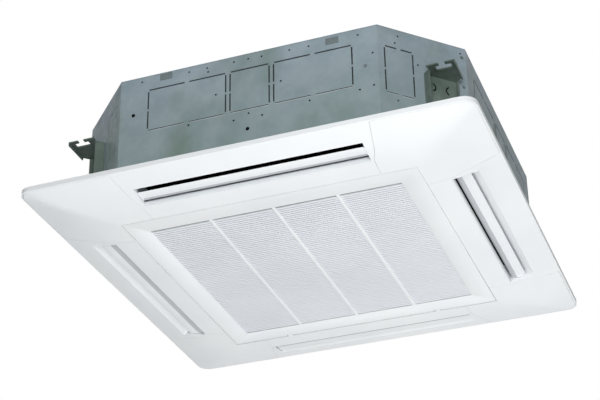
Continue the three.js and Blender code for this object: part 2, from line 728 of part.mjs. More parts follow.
function airFilter() {
  const foot = SLAT_TOP + TOUCH;
  const top = foot + FILTER_THICK;
  const frame = box(-FILTER_HALF_X, FILTER_HALF_X, FILTER_FRONT, FILTER_BACK, foot, top);
  const width = 2 * FILTER_HALF_X - 2 * FILTER_BAR;
  const depth = FILTER_BACK - FILTER_FRONT - 2 * FILTER_BAR;
  const windows = [];
  for (let i = 0; i < FILTER_CELLS; i += 1) {
    for (let j = 0; j < FILTER_CELLS; j += 1) {
      const x = -FILTER_HALF_X + FILTER_BAR + (i * width) / FILTER_CELLS;
      const y = FILTER_FRONT + FILTER_BAR + (j * depth) / FILTER_CELLS;
      windows.push(box(
        x + FILTER_RIB / 2, x + width / FILTER_CELLS - FILTER_RIB / 2,
        y + FILTER_RIB / 2, y + depth / FILTER_CELLS - FILTER_RIB / 2,
        foot - 1, top + 1,
      ));
    }
  }
  return cut(frame, ...windows);
}

function panelSeal() {
  const z0 = BASE_TOP + TOUCH;
  const z1 = CASING_FOOT - TOUCH;
  const ring = cut(
    plan(octagon(CASING_HALF - SEAL_OUTER), z0, z1),
    box(-SEAL_INNER, SEAL_INNER, -SEAL_INNER, SEAL_INNER, z0 - 1, z1 + 1),
  );
  const chamferBand = cut(
    plan(octagon(CASING_HALF - SEAL_OUTER), z0, z1),
    plan(octagon(CASING_HALF - SEAL_INNER), z0 - 1, z1 + 1),
  );
  return join(ring, chamferBand);
}

// ------------------------------------------------------------- the casing

// Casing outline in plan, set in by a wall
function octagon(inset) {
  const half = CASING_HALF - inset;
  const slant = Math.hypot(CHAMFER_X, CHAMFER_Y);
  const cutX = CHAMFER_X - (inset * (CHAMFER_X + CHAMFER_Y - slant)) / CHAMFER_Y;
  const cutY = CHAMFER_Y - (inset * (CHAMFER_X + CHAMFER_Y - slant)) / CHAMFER_X;
  const x = half - cutX;
  const y = half - cutY;
  return [
    [x, -half], [half, -y], [half, y], [x, half], [-x, half], [-half, y], [-half, -y], [-x, -half],
  ];
}

const CHAMFER_LENGTH = Math.hypot(CHAMFER_X, CHAMFER_Y);
const ALONG = [CHAMFER_X / CHAMFER_LENGTH, CHAMFER_Y / CHAMFER_LENGTH];
const OUT = [ALONG[1], -ALONG[0]];

// Point on the front right chamfer, by distance along it and out from it
function onChamfer(along, out) {
  return [
    CASING_HALF - CHAMFER_X + ALONG[0] * along + OUT[0] * out,
    -CASING_HALF + ALONG[1] * along + OUT[1] * out,
  ];
}

// Slots that outline one knock-out on a face: u runs along it, z is height
function knockoutSlots(from, to, z0, z1, bridges, place) {
  const slots = [];
  const across = (to - from) / (bridges - 1);
  for (let i = 0; i + 1 < bridges; i += 1) {
    const a = from + i * across + (i === 0 ? 0 : BRIDGE / 2);
    const b = from + (i + 1) * across - (i + 2 === bridges ? 0 : BRIDGE / 2);
    slots.push([a + BRIDGE / 2, b - BRIDGE / 2, z0, z0 + PUNCH]);
    slots.push([a + BRIDGE / 2, b - BRIDGE / 2, z1 - PUNCH, z1]);
  }
  const middle = (z0 + z1) / 2;
  for (const u of [from, to - PUNCH]) {
    slots.push([u, u + PUNCH, z0 + BRIDGE, middle - BRIDGE / 2]);
    slots.push([u, u + PUNCH, middle + BRIDGE / 2, z1 - BRIDGE]);
  }
  return slots.map(([u0, u1, low, high]) => place(box(u0, u1, -2 * SHEET, 2 * SHEET, low, high)));
}

// Sends a tool made along X at y = 0 onto the front face or the front right chamfer
const onFront = (geometry) => geometry.translate(0, -CASING_HALF, 0);
function onChamferFace(geometry) {
  const basis = new THREE.Matrix4().makeBasis(
    new THREE.Vector3(ALONG[0], ALONG[1], 0),
    new THREE.Vector3(-OUT[0], -OUT[1], 0),
    new THREE.Vector3(0, 0, 1),
  );
  const [x, y] = onChamfer(0, 0);
  return geometry.applyMatrix4(basis).translate(x, y, 0);
}

const PLATE_TOP = CASING_TOP - SHEET - TOUCH;
const casingRing = cut(
  plan(octagon(0), CASING_FOOT, PLATE_TOP),
  plan(octagon(SHEET), CASING_FOOT - 1, PLATE_TOP + 1),
);

// Everything in front of the seams on the two front chamfers
function frontRegion(grow) {
  const [inX, inY] = onChamfer(PLATE_SEAM_ALONG + grow, -60);
  const [outX, outY] = onChamfer(PLATE_SEAM_ALONG + grow, 60);
  const far = 2 * CASING_HALF;
  return plan(
    [[-inX, inY], [-outX, outY], [-far, outY], [-far, -far], [far, -far], [far, outY],
      [outX, outY], [inX, inY]],
    CASING_FOOT - 1, CASING_TOP + 1,
  );
}

function frontPlate() {
  const sheet = common(casingRing, frontRegion(0));
  const slots = SIDE_KNOCKOUTS.flatMap(([from, to, bridges]) =>
    knockoutSlots(from, to, ...SIDE_KNOCKOUT_Z, bridges, onFront));
  const [from, to, bridges] = CHAMFER_KNOCKOUT;
  const corner = knockoutSlots(from, to, ...CHAMFER_KNOCKOUT_Z, bridges, onChamferFace);
  const otherCorner = corner.map((slot) => mirrored(slot, -1, 1));
  return cut(sheet, ...slots, ...corner, ...otherCorner);
}

function plainRightPlate() {
  const far = 2 * CASING_HALF;
  const side = box(CASING_HALF / 2, far, -far, far, CASING_FOOT - 1, CASING_TOP + 1);
  const ends = [frontRegion(TOUCH), mirrored(frontRegion(TOUCH), 1, -1)];
  return cut(common(casingRing, side), ...ends);
}

function rightPlate() {
  const slots = SIDE_KNOCKOUTS.flatMap(([from, to, bridges]) =>
    knockoutSlots(from, to, ...SIDE_KNOCKOUT_Z, bridges, onFront));
  return cut(plainRightPlate(), ...slots.map((slot) => quarter(slot, 1)));
}

function backPlate() {
  const [x0, x1, z0, z1] = PIPE_WINDOW;
  const window = box(x0, x1, CASING_HALF - 2 * SHEET, CASING_HALF + 1, z0, z1);
  const hole = rodY(
    SOCKET_RADIUS + TOUCH, CASING_HALF - 2 * SHEET, CASING_HALF + 1, DRAIN_X, DRAIN_Z, 16,
  );
  return cut(mirrored(common(casingRing, frontRegion(0)), 1, -1), window, hole);
}

function topPlate() {
  const z0 = CASING_TOP - SHEET;
  const plate = plan(octagon(0), z0, CASING_TOP);
  const lipOut = SHEET + TOUCH;
  const lip = cut(
    plan(octagon(lipOut), z0 - TOP_LIP, z0 + 1),
    plan(octagon(lipOut + SHEET), z0 - TOP_LIP - 1, z0 + 2),
  );
  return join(plate, lip);
}

function casingLiner() {
  const outer = SHEET + TOUCH;
  const z0 = PAN_TOP + TOUCH;
  const z1 = CASING_TOP - SHEET - TOP_LIP - TOUCH;
  const ring = cut(
    plan(octagon(outer), z0, z1),
    plan(octagon(outer + LINER), z0 - 1, z1 + 1),
  );
  const [x0, x1, low, high] = PIPE_WINDOW;
  const pipeGap = box(x0, x1, CASING_HALF - 2 * LINER, CASING_HALF, low, high);
  const hoseGap = rodY(
    SOCKET_RADIUS + 2, CASING_HALF - 2 * LINER, CASING_HALF, DRAIN_X, DRAIN_Z, 12,
  );
  const bracketGap = box(
    -CASING_HALF, -CASING_HALF + 2 * LINER, PUMP_Y - BRACKET_HALF - 1, PUMP_Y + BRACKET_HALF + 1,
    BRACKET_Z - 1, BRACKET_Z + BRACKET_THICK + 1,
  );
  return cut(ring, pipeGap, hoseGap, bracketGap);
}

// Bracket on the front right chamfer: web, two side flanges and a slotted hook
function hangerBracket() {
  const stand = TOUCH;
  const block = (a0, a1, o0, o1, z0, z1) =>
    plan([onChamfer(a0, o1), onChamfer(a1, o1), onChamfer(a1, o0), onChamfer(a0, o0)].reverse(), z0, z1);
  const top = HOOK_HEIGHT + HOOK_THICK;
  const web = block(WEB_FROM, WEB_TO, stand, stand + WEB_THICK, WEB_FOOT, top);
  const longFlange = block(WEB_FROM, WEB_FROM + WEB_THICK, stand, LONG_FLANGE, WEB_FOOT, top);
  const shortFlange = block(WEB_TO - WEB_THICK, WEB_TO, stand, SHORT_FLANGE, WEB_FOOT, top);
  const hook = plan(
    [
      onChamfer(WEB_FROM, stand),
      onChamfer(WEB_FROM, LONG_FLANGE),
      [HOOK_FINGER_X, -HOOK_EDGE_Y],
      [SLOT_MOUTH[0], -HOOK_EDGE_Y],
      [SLOT_MOUTH[0], -SLOT_NEAR],
      [SLOT_BAR[0], -SLOT_NEAR],
      [SLOT_BAR[0], -SLOT_FAR],
      [SLOT_BAR[1], -SLOT_FAR],
      [SLOT_BAR[1], -SLOT_NEAR],
      [SLOT_MOUTH[1], -SLOT_NEAR],
      [SLOT_MOUTH[1], -HOOK_EDGE_Y],
      [HOOK_EDGE_X, -HOOK_EDGE_Y],
      [HOOK_EDGE_X, -HOOK_BACK_Y],
      onChamfer(WEB_TO, stand),
    ],
    HOOK_HEIGHT, top,
  );
  const lip = box(
    HOOK_EDGE_X - WEB_THICK, HOOK_EDGE_X, -HOOK_EDGE_Y, -HOOK_BACK_Y, HOOK_HEIGHT - HOOK_LIP, top,
  );
  return join(web, longFlange, shortFlange, hook, lip);
}

// ------------------------------------------------------------ air system

function drainPan() {
  const body = plan(octagon(SHEET + TOUCH), CASING_FOOT + TOUCH, PAN_TOP);
  const foot = CASING_FOOT - 1;
  const duct = frontBar(
    [[THROAT_INNER, foot], [THROAT_INNER, PAN_TOP + 1],
      [THROAT_OUTER, PAN_TOP + 1], [THROAT_OUTER, foot]],
    -OUTLET_HALF, OUTLET_HALF,
  );
  const grow = DUCT_WALL + TOUCH;
  const socket = frontBar(
    [[THROAT_INNER - grow, foot], [THROAT_INNER - grow, DUCT_TOP + TOUCH],
      [THROAT_OUTER + grow, DUCT_TOP + TOUCH], [THROAT_OUTER + grow, foot]],
    -OUTLET_HALF - grow, OUTLET_HALF + grow,
  );
  const outer = COIL_OUTER + TROUGH_MARGIN;
  const trough = cut(
    roundedBlock(outer, COIL_RADIUS + TROUGH_MARGIN, PAN_FLOOR, PAN_TOP + 1),
    roundedBlock(TROUGH_INNER, TROUGH_INNER_RADIUS, PAN_FLOOR - 1, PAN_TOP + 2),
  );
  // The pump and the float stand in a square sump at the open corner of the coil
  const sump = box(-outer, -TROUGH_INNER, TROUGH_INNER - 20, outer, PAN_FLOOR, PAN_TOP + 1);
  const hole = post(PAN_HOLE_RADIUS, foot, PAN_TOP + 1, 0, 0, ROUND_STEPS);
  const boxBay = box(
    BOX_X[0] - TOUCH, BOX_X[1] + TOUCH, BOX_Y[0] - TOUCH, BOX_Y[1] + TOUCH, foot, BOX_Z[1] + TOUCH,
  );
  return cut(body, ...everySide(duct), ...everySide(socket), trough, sump, hole, boxBay);
}

function heatExchanger() {
  const z0 = PAN_FLOOR + TOUCH;
  const ring = cut(
    roundedBlock(COIL_OUTER, COIL_RADIUS, z0, COIL_TOP),
    roundedBlock(COIL_OUTER - COIL_THICK, COIL_RADIUS - COIL_THICK, z0 - 1, COIL_TOP + 1),
  );
  const open = box(
    -COIL_OUTER - 1, -COIL_OPEN_FROM, COIL_OPEN_FROM, COIL_OUTER + 1, z0 - 1, COIL_TOP + 1,
  );
  return cut(ring, open);
}

function bellMouth() {
  const rim = BELL_RIM_RADIUS;
  const throat = BELL_THROAT_RADIUS;
  const inside = [];
  for (let i = 0; i <= BELL_STEPS; i += 1) {
    const angle = (i / BELL_STEPS) * (Math.PI / 2);
    inside.push([
      throat + (PAN_HOLE_RADIUS - 6 - throat) * (1 - Math.sin(angle)),
      BELL_FOOT + (BELL_TOP - 20) * (1 - Math.cos(angle)),
    ]);
  }
  const outside = inside.map(([r, z], i) => [r + BELL_WALL, z + (i === 0 ? BELL_WALL : 0)]).reverse();
  const profile = [
    ...inside, [throat, BELL_TOP], [throat + BELL_WALL, BELL_TOP], ...outside,
    [rim, BELL_FOOT + BELL_WALL], [rim, BELL_FOOT], inside[0],
  ];
  const ring = turnedProfile(profile);
  const boxBay = box(
    BOX_X[0] - TOUCH, BOX_X[1] + TOUCH, BOX_Y[0] - TOUCH, BOX_Y[1], BELL_FOOT - 1, BOX_Z[1],
  );
  return cut(ring, boxBay);
}

function turboFan() {
  const back = FAN_BACK;
  const wall = FAN_WALL;
  const plate = turnedProfile([
    [SHAFT_RADIUS + TOUCH, HUB_FOOT], [HUB_RADIUS, HUB_FOOT], [HUB_RADIUS, HUB_TOP - wall],
    [75, HUB_TOP - wall], [100, back - wall], [FAN_RADIUS, back - wall], [FAN_RADIUS, back],
    [98, back], [73, HUB_TOP], [SHAFT_RADIUS + TOUCH, HUB_TOP], [SHAFT_RADIUS + TOUCH, HUB_FOOT],
  ]);
  const blades = [];
  for (let i = 0; i < FAN_BLADES; i += 1) {
    const start = (i / FAN_BLADES) * 2 * Math.PI;
    const edge = [];
    for (let step = 0; step <= 4; step += 1) {
      const share = step / 4;
      const radius = BLADE_ROOT + (FAN_RADIUS - 2 - BLADE_ROOT) * share;
      const angle = start - BLADE_SWEEP * share ** 1.3;
      edge.push([radius * Math.cos(angle), radius * Math.sin(angle)]);
    }
    const thick = (radius, angle) => [radius * Math.cos(angle), radius * Math.sin(angle)];
    const other = [4, 3, 2, 1, 0].map((step) => {
      const share = step / 4;
      const radius = BLADE_ROOT + (FAN_RADIUS - 2 - BLADE_ROOT) * share;
      const angle = start - BLADE_SWEEP * share ** 1.3 + 0.02 + 0.03 * share * (1 - share);
      return thick(radius, angle);
    });
    blades.push(plan([...edge, ...other], FAN_FOOT + 20, back - 1));
  }
  const [low, ...rest] = SHROUD_BACK.map(([radius, z]) => [radius, z + TOUCH]);
  const high = rest[rest.length - 1];
  const upper = cut(join(...blades), turnedProfile([
    [0, low[1]], low, ...rest, [FAN_RADIUS + 2, high[1]], [FAN_RADIUS + 2, FAN_FOOT], [0, FAN_FOOT],
  ]));
  return join(plate, upper);
}

// Ring that closes the blades at the inlet, moulded apart and welded on
function fanShroud() {
  const inlet = FAN_INLET_RADIUS;
  const back = [...SHROUD_BACK].reverse();
  return turnedProfile([
    [inlet, FAN_FOOT], [inlet + FAN_WALL, FAN_FOOT], [inlet + 8, FAN_FOOT + 14],
    [inlet + 26, FAN_FOOT + 26], [FAN_RADIUS, FAN_FOOT + 40], ...back, [inlet, FAN_FOOT],
  ]);
}

function fanMotor() {
  const can = turnedProfile([
    [0, MOTOR_CAN_FOOT], [MOTOR_CAN_RADIUS - 12, MOTOR_CAN_FOOT],
    [MOTOR_CAN_RADIUS, MOTOR_CAN_FOOT + 12], [MOTOR_CAN_RADIUS, MOTOR_CAN_TOP], [0, MOTOR_CAN_TOP],
  ], 24);
  const ears = [];
  for (let i = 0; i < MOTOR_EARS; i += 1) {
    const angle = (i / MOTOR_EARS) * 2 * Math.PI;
    const arm = box(
      MOTOR_CAN_RADIUS - 8, MOTOR_EAR_RADIUS + BUSH_RADIUS, -BUSH_RADIUS, BUSH_RADIUS,
      MOTOR_EAR_TOP - MOTOR_EAR_THICK, MOTOR_EAR_TOP,
    );
    ears.push(arm.rotateZ(angle));
  }
  const bore = post(SHAFT_RADIUS + RUNNING_GAP, MOTOR_CAN_FOOT - 1, SHAFT_TOP + 1, 0, 0, 16);
  return cut(join(can, ...ears), bore);
}

function motorBush(index) {
  const angle = (index / MOTOR_EARS) * 2 * Math.PI;
  const z0 = MOTOR_EAR_TOP + TOUCH;
  const z1 = CASING_TOP - SHEET - TOUCH;
  const middle = (z0 + z1) / 2;
  const spool = turnedProfile([
    [0, z0], [BUSH_RADIUS, z0], [BUSH_RADIUS, z0 + 4], [BUSH_RADIUS - 4, middle],
    [BUSH_RADIUS, z1 - 4], [BUSH_RADIUS, z1], [0, z1],
  ], 12);
  return spool.translate(MOTOR_EAR_RADIUS, 0, 0).rotateZ(angle);
}

const motorShaft = () => post(SHAFT_RADIUS, SHAFT_FOOT, SHAFT_TOP, 0, 0, 16);

function fanNut() {
  const top = HUB_FOOT - TOUCH;
  return cut(
    post(NUT_RADIUS, top - NUT_HEIGHT, top, 0, 0, 6),
    post(SHAFT_RADIUS + TOUCH, top - NUT_HEIGHT - 1, top + 1, 0, 0, 16),
  );
}

// ------------------------------------------------------------- electrics

function controlBox() {
  const [x0, x1] = BOX_X;
  const [y0, y1] = BOX_Y;
  const [z0, z1] = BOX_Z;
  const w = BOX_WALL;
  const foot = z0 + w + TOUCH;
  return cut(
    box(x0, x1, y0, y1, foot, z1),
    box(x0 + w, x1 - w, y0 + w, y1 - w, foot - 1, z1 - w),
  );
}

function controlBoxCover() {
  const [x0, x1] = BOX_X;
  const [y0, y1] = BOX_Y;
  const z0 = BOX_Z[0];
  const w = BOX_WALL;
  const plate = box(x0, x1, y0, y1, z0, z0 + w);
  const inset = w + TOUCH;
  const rim = cut(
    box(x0 + inset, x1 - inset, y0 + inset, y1 - inset, z0, z0 + 3 * w),
    box(x0 + inset + w, x1 - inset - w, y0 + inset + w, y1 - inset - w, z0 - 1, z0 + 4 * w),
  );
  return join(plate, rim);
}

function controlBoard() {
  const z1 = BOX_Z[1] - BOX_WALL - 3;
  const board = box(BOX_X[0] + 8, BOX_X[1] - 98, BOX_Y[0] + 8, BOX_Y[1] - 8, z1 - BOARD_THICK, z1);
  const feet = [];
  for (const x of [BOX_X[0] + 16, BOX_X[1] - 106]) {
    for (const y of [BOX_Y[0] + 16, BOX_Y[1] - 16]) {
      feet.push(post(3, z1 - 1, BOX_Z[1] - BOX_WALL - TOUCH, x, y, 6));
    }
  }
  const block = (x, y, width, depth, height) => {
    const [left, near] = [BOX_X[0] + x, BOX_Y[0] + y];
    return box(left, left + width, near, near + depth, z1 - height, z1 - 1);
  };
  const capacitor = (x) => post(9, z1 - 19, z1 - 1, BOX_X[0] + x, BOX_Y[0] + 38, 10);
  const parts = [
    block(30, 26, 36, 45, 17),
    block(82, 31, 26, 45, 12),
    capacitor(134),
    capacitor(158),
    block(186, 26, 40, 34, 14),
  ];
  return join(board, ...feet, ...parts);
}

function terminalBlock() {
  const [length, depth, height] = TERMINAL_SIZE;
  const x1 = BOX_X[1] - BOX_WALL - 8;
  const z1 = BOX_Z[1] - BOX_WALL - TOUCH;
  const y0 = BOX_Y[0] + 20;
  const poles = 5;
  const body = box(x1 - length, x1, y0, y0 + depth, z1 - height, z1);
  const slots = [];
  for (let i = 0; i < poles; i += 1) {
    const x = x1 - length + ((i + 0.5) * length) / poles;
    slots.push(box(x - 4.5, x + 4.5, y0 - 1, y0 + depth - 5, z1 - height - 1, z1 - height + 8));
  }
  return cut(body, ...slots);
}

// ------------------------------------------------------------ drain lift

function drainPump() {
  const can = post(PUMP_RADIUS, VOLUTE_TOP + 4, PUMP_TOP, PUMP_X, PUMP_Y, 20);
  const volute = post(VOLUTE_RADIUS + VOLUTE_WALL, PUMP_FOOT, VOLUTE_TOP + 5, PUMP_X, PUMP_Y, 20);
  const outlet = post(HOSE_RADIUS, PUMP_TOP - 1, PUMP_TOP + HOSE_COLLAR, PUMP_X, PUMP_Y, 8);
  const bracketTop = BRACKET_Z + BRACKET_THICK;
  const bracket = box(
    -CASING_HALF + SHEET + TOUCH, PUMP_X, PUMP_Y - BRACKET_HALF, PUMP_Y + BRACKET_HALF,
    BRACKET_Z, bracketTop,
  );
  const arm = box(
    FLOAT_X - BRACKET_HALF, FLOAT_X + BRACKET_HALF, PUMP_Y, FLOAT_Y + BRACKET_HALF,
    BRACKET_Z, bracketTop,
  );
  const chamber = post(VOLUTE_RADIUS, PUMP_FOOT + 3, VOLUTE_TOP, PUMP_X, PUMP_Y, 20);
  const inlet = post(INLET_RADIUS, PUMP_FOOT - 1, PUMP_FOOT + 4, PUMP_X, PUMP_Y, 12);
  const spindle = post(STEM_RADIUS + RUNNING_GAP, VOLUTE_TOP - 1, VOLUTE_TOP + 20, PUMP_X, PUMP_Y, 12);
  return cut(join(can, volute, outlet, bracket, arm), chamber, inlet, spindle);
}

function pumpImpeller() {
  const z0 = PUMP_FOOT + 4;
  const spindle = post(STEM_RADIUS, z0, VOLUTE_TOP + 19, PUMP_X, PUMP_Y, 12);
  const disc = post(IMPELLER_RADIUS, VOLUTE_TOP - 4, VOLUTE_TOP - 2, PUMP_X, PUMP_Y, 16);
  const vanes = [0, 1].map((turn) => {
    const vane = box(-IMPELLER_RADIUS + 1, IMPELLER_RADIUS - 1, -1, 1, z0 + 2, VOLUTE_TOP - 3);
    return vane.rotateZ((turn * Math.PI) / 2).translate(PUMP_X, PUMP_Y, 0);
  });
  return join(spindle, disc, ...vanes);
}

function floatSwitch() {
  const [half, height] = SWITCH_HEAD;
  const top = BRACKET_Z - TOUCH;
  const stem = post(STEM_RADIUS, STEM_FOOT, top - 1, FLOAT_X, FLOAT_Y, 12);
  const stop = post(STEM_RADIUS + 4, STEM_FOOT, FLOAT_FOOT - TOUCH, FLOAT_X, FLOAT_Y, 12);
  const head = box(
    FLOAT_X - half, FLOAT_X + half, FLOAT_Y - half, FLOAT_Y + half, top - height, top,
  );
  return join(stem, stop, head);
}

const float = () => cut(
  post(FLOAT_RADIUS, FLOAT_FOOT, FLOAT_FOOT + FLOAT_HEIGHT, FLOAT_X, FLOAT_Y, 16),
  post(STEM_RADIUS + RUNNING_GAP, FLOAT_FOOT - 1, FLOAT_FOOT + FLOAT_HEIGHT + 1, FLOAT_X, FLOAT_Y, 12),
);

function drainHose() {
  const start = PUMP_TOP + HOSE_COLLAR + TOUCH;
  const end = CASING_HALF - SHEET - SOCKET_INSIDE;
  const path = new THREE.CatmullRomCurve3([
    new THREE.Vector3(PUMP_X, PUMP_Y, start),
    new THREE.Vector3(PUMP_X, PUMP_Y, start + 24),
    new THREE.Vector3(PUMP_X + 8, PUMP_Y + 26, DRAIN_Z - 10),
    new THREE.Vector3(DRAIN_X - 16, PUMP_Y + 86, DRAIN_Z),
    new THREE.Vector3(DRAIN_X, end - 20, DRAIN_Z),
    new THREE.Vector3(DRAIN_X, end, DRAIN_Z),
  ]);
  const ring = new THREE.Shape().absarc(0, 0, HOSE_RADIUS, 0, 2 * Math.PI);
  ring.holes.push(new THREE.Path().absarc(0, 0, HOSE_BORE, 0, 2 * Math.PI, true));
  return new THREE.ExtrudeGeometry(ring, {
    steps: 12, curveSegments: 4, bevelEnabled: false, extrudePath: path,
  });
}

function drainSocket() {
  const inside = CASING_HALF - SHEET - SOCKET_INSIDE + TOUCH;
  const flangeFrom = CASING_HALF + TOUCH;
  const end = CASING_HALF + SOCKET_REACH;
  const tube = rodY(SOCKET_RADIUS, inside, end, DRAIN_X, DRAIN_Z, 16);
  const flange = rodY(
    SOCKET_RADIUS + SOCKET_FLANGE, flangeFrom, flangeFrom + SKIN, DRAIN_X, DRAIN_Z, 16,
  );
  const bore = rodY(SOCKET_BORE, flangeFrom, end + 1, DRAIN_X, DRAIN_Z, 16);
  const throat = rodY(HOSE_BORE, inside - 1, flangeFrom + 1, DRAIN_X, DRAIN_Z, 12);
  return cut(join(tube, flange), bore, throat);
}

// ------------------------------------------------------ refrigerant pipes

// Header beside the open end of the coil, with stubs into it and a pipe out at the back
function pipeRun(x, y, z, radius) {
  const header = post(radius, ...HEADER_Z, x, y, 12);
  const stubs = HEADER_STUBS.map((height) =>
    rodX(STUB_RADIUS, x, -COIL_OPEN_FROM - TOUCH, y, height, 8));
  const end = CASING_HALF + PIPE_REACH;
  const out = rodY(radius, y, end, x, z, 12);
  const bore = rodY(radius * PIPE_BORE_SHARE, end - PIPE_BORE_DEPTH, end + 1, x, z, 12);
  return cut(join(header, ...stubs, out), bore);
}

function flareNut(x, z, radius) {
  const from = CASING_HALF + PIPE_REACH + TOUCH;
  const nut = rodY(radius * 1.7, from, from + NUT_LENGTH, x, z, 6);
  return cut(nut, rodY(radius * PIPE_BORE_SHARE, from - 1, from + NUT_LENGTH + 1, x, z, 12));
}

function pipeCover() {
  const [x0, x1, z0, z1] = PIPE_WINDOW;
  const edge = PIPE_COVER_EDGE;
  const y0 = CASING_HALF + TOUCH;
  const y1 = y0 + PIPE_COVER_THICK;
  return cut(
    box(x0 - edge, x1 + edge, y0, y1, z0 - edge, z1 + edge),
    rodY(GAS_RADIUS + TOUCH, y0 - 1, y1 + 1, GAS_X, GAS_Z, 12),
    rodY(LIQUID_RADIUS + TOUCH, y0 - 1, y1 + 1, LIQUID_X, LIQUID_Z, 12),
  );
}

// --------------------------------------------------------- put together

add("panel_frame", panelFrame(), paint.whitePlastic());
const cover = cornerCover();
["front_right", "back_right", "back_left", "front_left"].forEach((place, turns) => {
  add(`corner_cover_${place}`, quarter(cover, turns), paint.whitePlastic());
});

const flapSolid = flap();
const motorSolid = flapMotor();
const bearingSolid = flapBearing();
SIDES.forEach((side, turns) => {
  const group = new THREE.Group();
  group.rotation.z = (turns * Math.PI) / 2;
  unit.add(group);
  add(`flap_${side}`, flapSolid, paint.whitePlastic(), group);
  add(`flap_motor_${side}`, motorSolid, paint.greyPlastic(), group);
  add(`flap_bearing_${side}`, bearingSolid, paint.greyPlastic(), group);
});

add("intake_grille", intakeGrille(), paint.whitePlastic());
add("air_filter", airFilter(), paint.darkNet());
[["left", -1], ["right", 1]].forEach(([place, sign]) => {
  add(`grille_catch_${place}`, grilleCatch(sign * CATCH_X), paint.whitePlastic());
  add(`grille_hinge_pin_${place}`, hingePin(sign * KNUCKLE_X), paint.aluminium());
});
add("panel_seal", panelSeal(), paint.blackFoam());

add("front_plate", frontPlate(), paint.galvanised());
add("right_plate", rightPlate(), paint.galvanised());
add("back_plate", backPlate(), paint.galvanised());
add("left_plate", mirrored(plainRightPlate(), -1, 1), paint.galvanised());
add("top_plate", topPlate(), paint.galvanised());
add("casing_liner", casingLiner(), paint.blackFoam());
const bracket = hangerBracket();
[["front_right", 1, 1], ["back_right", 1, -1], ["back_left", -1, -1], ["front_left", -1, 1]].forEach(
  ([place, sx, sy]) => add(`hanger_${place}`, mirrored(bracket, sx, sy), paint.darkSteel()),
);

add("drain_pan", drainPan(), paint.blackFoam());
add("heat_exchanger", heatExchanger(), paint.aluminium());
add("bell_mouth", bellMouth(), paint.greyPlastic());
add("turbo_fan", turboFan(), paint.greyPlastic());
add("fan_shroud", fanShroud(), paint.greyPlastic());
add("motor_shaft", motorShaft(), paint.aluminium());
add("fan_nut", fanNut(), paint.aluminium());
add("fan_motor", fanMotor(), paint.darkSteel());
for (let i = 0; i < MOTOR_EARS; i += 1) {
  add(`motor_bush_${i + 1}`, motorBush(i), paint.rubber());
}

add("control_box", controlBox(), paint.galvanised());
add("control_box_cover", controlBoxCover(), paint.galvanised());
add("control_board", controlBoard(), paint.green());
add("terminal_block", terminalBlock(), paint.greyPlastic());

add("drain_pump", drainPump(), paint.greyPlastic());
add("pump_impeller", pumpImpeller(), paint.greyPlastic());
add("float_switch", floatSwitch(), paint.greyPlastic());
add("float", float(), paint.greyPlastic());
add("drain_hose", drainHose(), paint.rubber());
add("drain_socket", drainSocket(), paint.greyPlastic());

add("gas_pipe", pipeRun(GAS_X, GAS_Y, GAS_Z, GAS_RADIUS), paint.copper());
add("liquid_pipe", pipeRun(LIQUID_X, LIQUID_Y, LIQUID_Z, LIQUID_RADIUS), paint.copper());
add("flare_nut_gas", flareNut(GAS_X, GAS_Z, GAS_RADIUS), paint.brass());
add("flare_nut_liquid", flareNut(LIQUID_X, LIQUID_Z, LIQUID_RADIUS), paint.brass());
add("pipe_cover", pipeCover(), paint.galvanised());

export default unit;
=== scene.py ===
# %% [markdown]
# # A ceiling cassette air conditioner, dressed for its portrait
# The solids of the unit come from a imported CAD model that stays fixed: a galvanised casing with four
# hanging hooks, and a white panel with a hinged intake grille and a blade in each of its four outlets.
# This lesson gives each solid its finish, softens its edges, and adds what is too small for the solids:
# coil fins, fine slats, the filter's net, punched holes, screws, and the dark lines of the knock-outs.

# %% Load the fixed frame
import bmesh
import bpy
import json
import math
from mathutils import Matrix, Vector

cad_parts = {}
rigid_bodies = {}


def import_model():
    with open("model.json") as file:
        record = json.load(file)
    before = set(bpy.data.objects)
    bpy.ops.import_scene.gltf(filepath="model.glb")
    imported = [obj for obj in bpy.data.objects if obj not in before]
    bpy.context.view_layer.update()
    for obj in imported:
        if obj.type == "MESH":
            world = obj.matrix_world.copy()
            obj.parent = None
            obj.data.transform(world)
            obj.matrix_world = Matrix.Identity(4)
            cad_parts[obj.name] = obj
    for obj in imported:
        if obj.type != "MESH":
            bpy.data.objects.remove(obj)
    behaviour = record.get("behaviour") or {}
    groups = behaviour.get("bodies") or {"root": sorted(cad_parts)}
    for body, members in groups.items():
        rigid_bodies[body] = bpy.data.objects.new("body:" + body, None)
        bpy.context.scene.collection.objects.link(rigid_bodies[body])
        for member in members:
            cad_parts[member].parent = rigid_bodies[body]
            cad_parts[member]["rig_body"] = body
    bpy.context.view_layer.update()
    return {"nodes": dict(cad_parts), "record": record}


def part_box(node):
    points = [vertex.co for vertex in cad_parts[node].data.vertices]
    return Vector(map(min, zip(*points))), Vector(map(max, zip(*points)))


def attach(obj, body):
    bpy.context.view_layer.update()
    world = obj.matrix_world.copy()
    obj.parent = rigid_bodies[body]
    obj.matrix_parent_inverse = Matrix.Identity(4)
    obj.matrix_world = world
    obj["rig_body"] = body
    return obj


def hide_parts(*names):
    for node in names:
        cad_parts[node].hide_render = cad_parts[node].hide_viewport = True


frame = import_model()
scene = bpy.context.scene
MM = 0.001
CEILING = -154  # mm: the height of the ceiling plane, on which the panel's rim lies
PHOTO_ZERO = -162.8  # mm: where the heights that were measured in the photograph start
CASING_HALF = 420  # mm: from the middle to each side plate

# %% [markdown]
# ## Helpers for materials
# Every finish is a small node tree. A helper that adds one node, with its settings and its links, keeps
# each tree readable. Colours are written as a painter's hex codes and turned linear in one place, because
# the shader mixes light and not screen values.

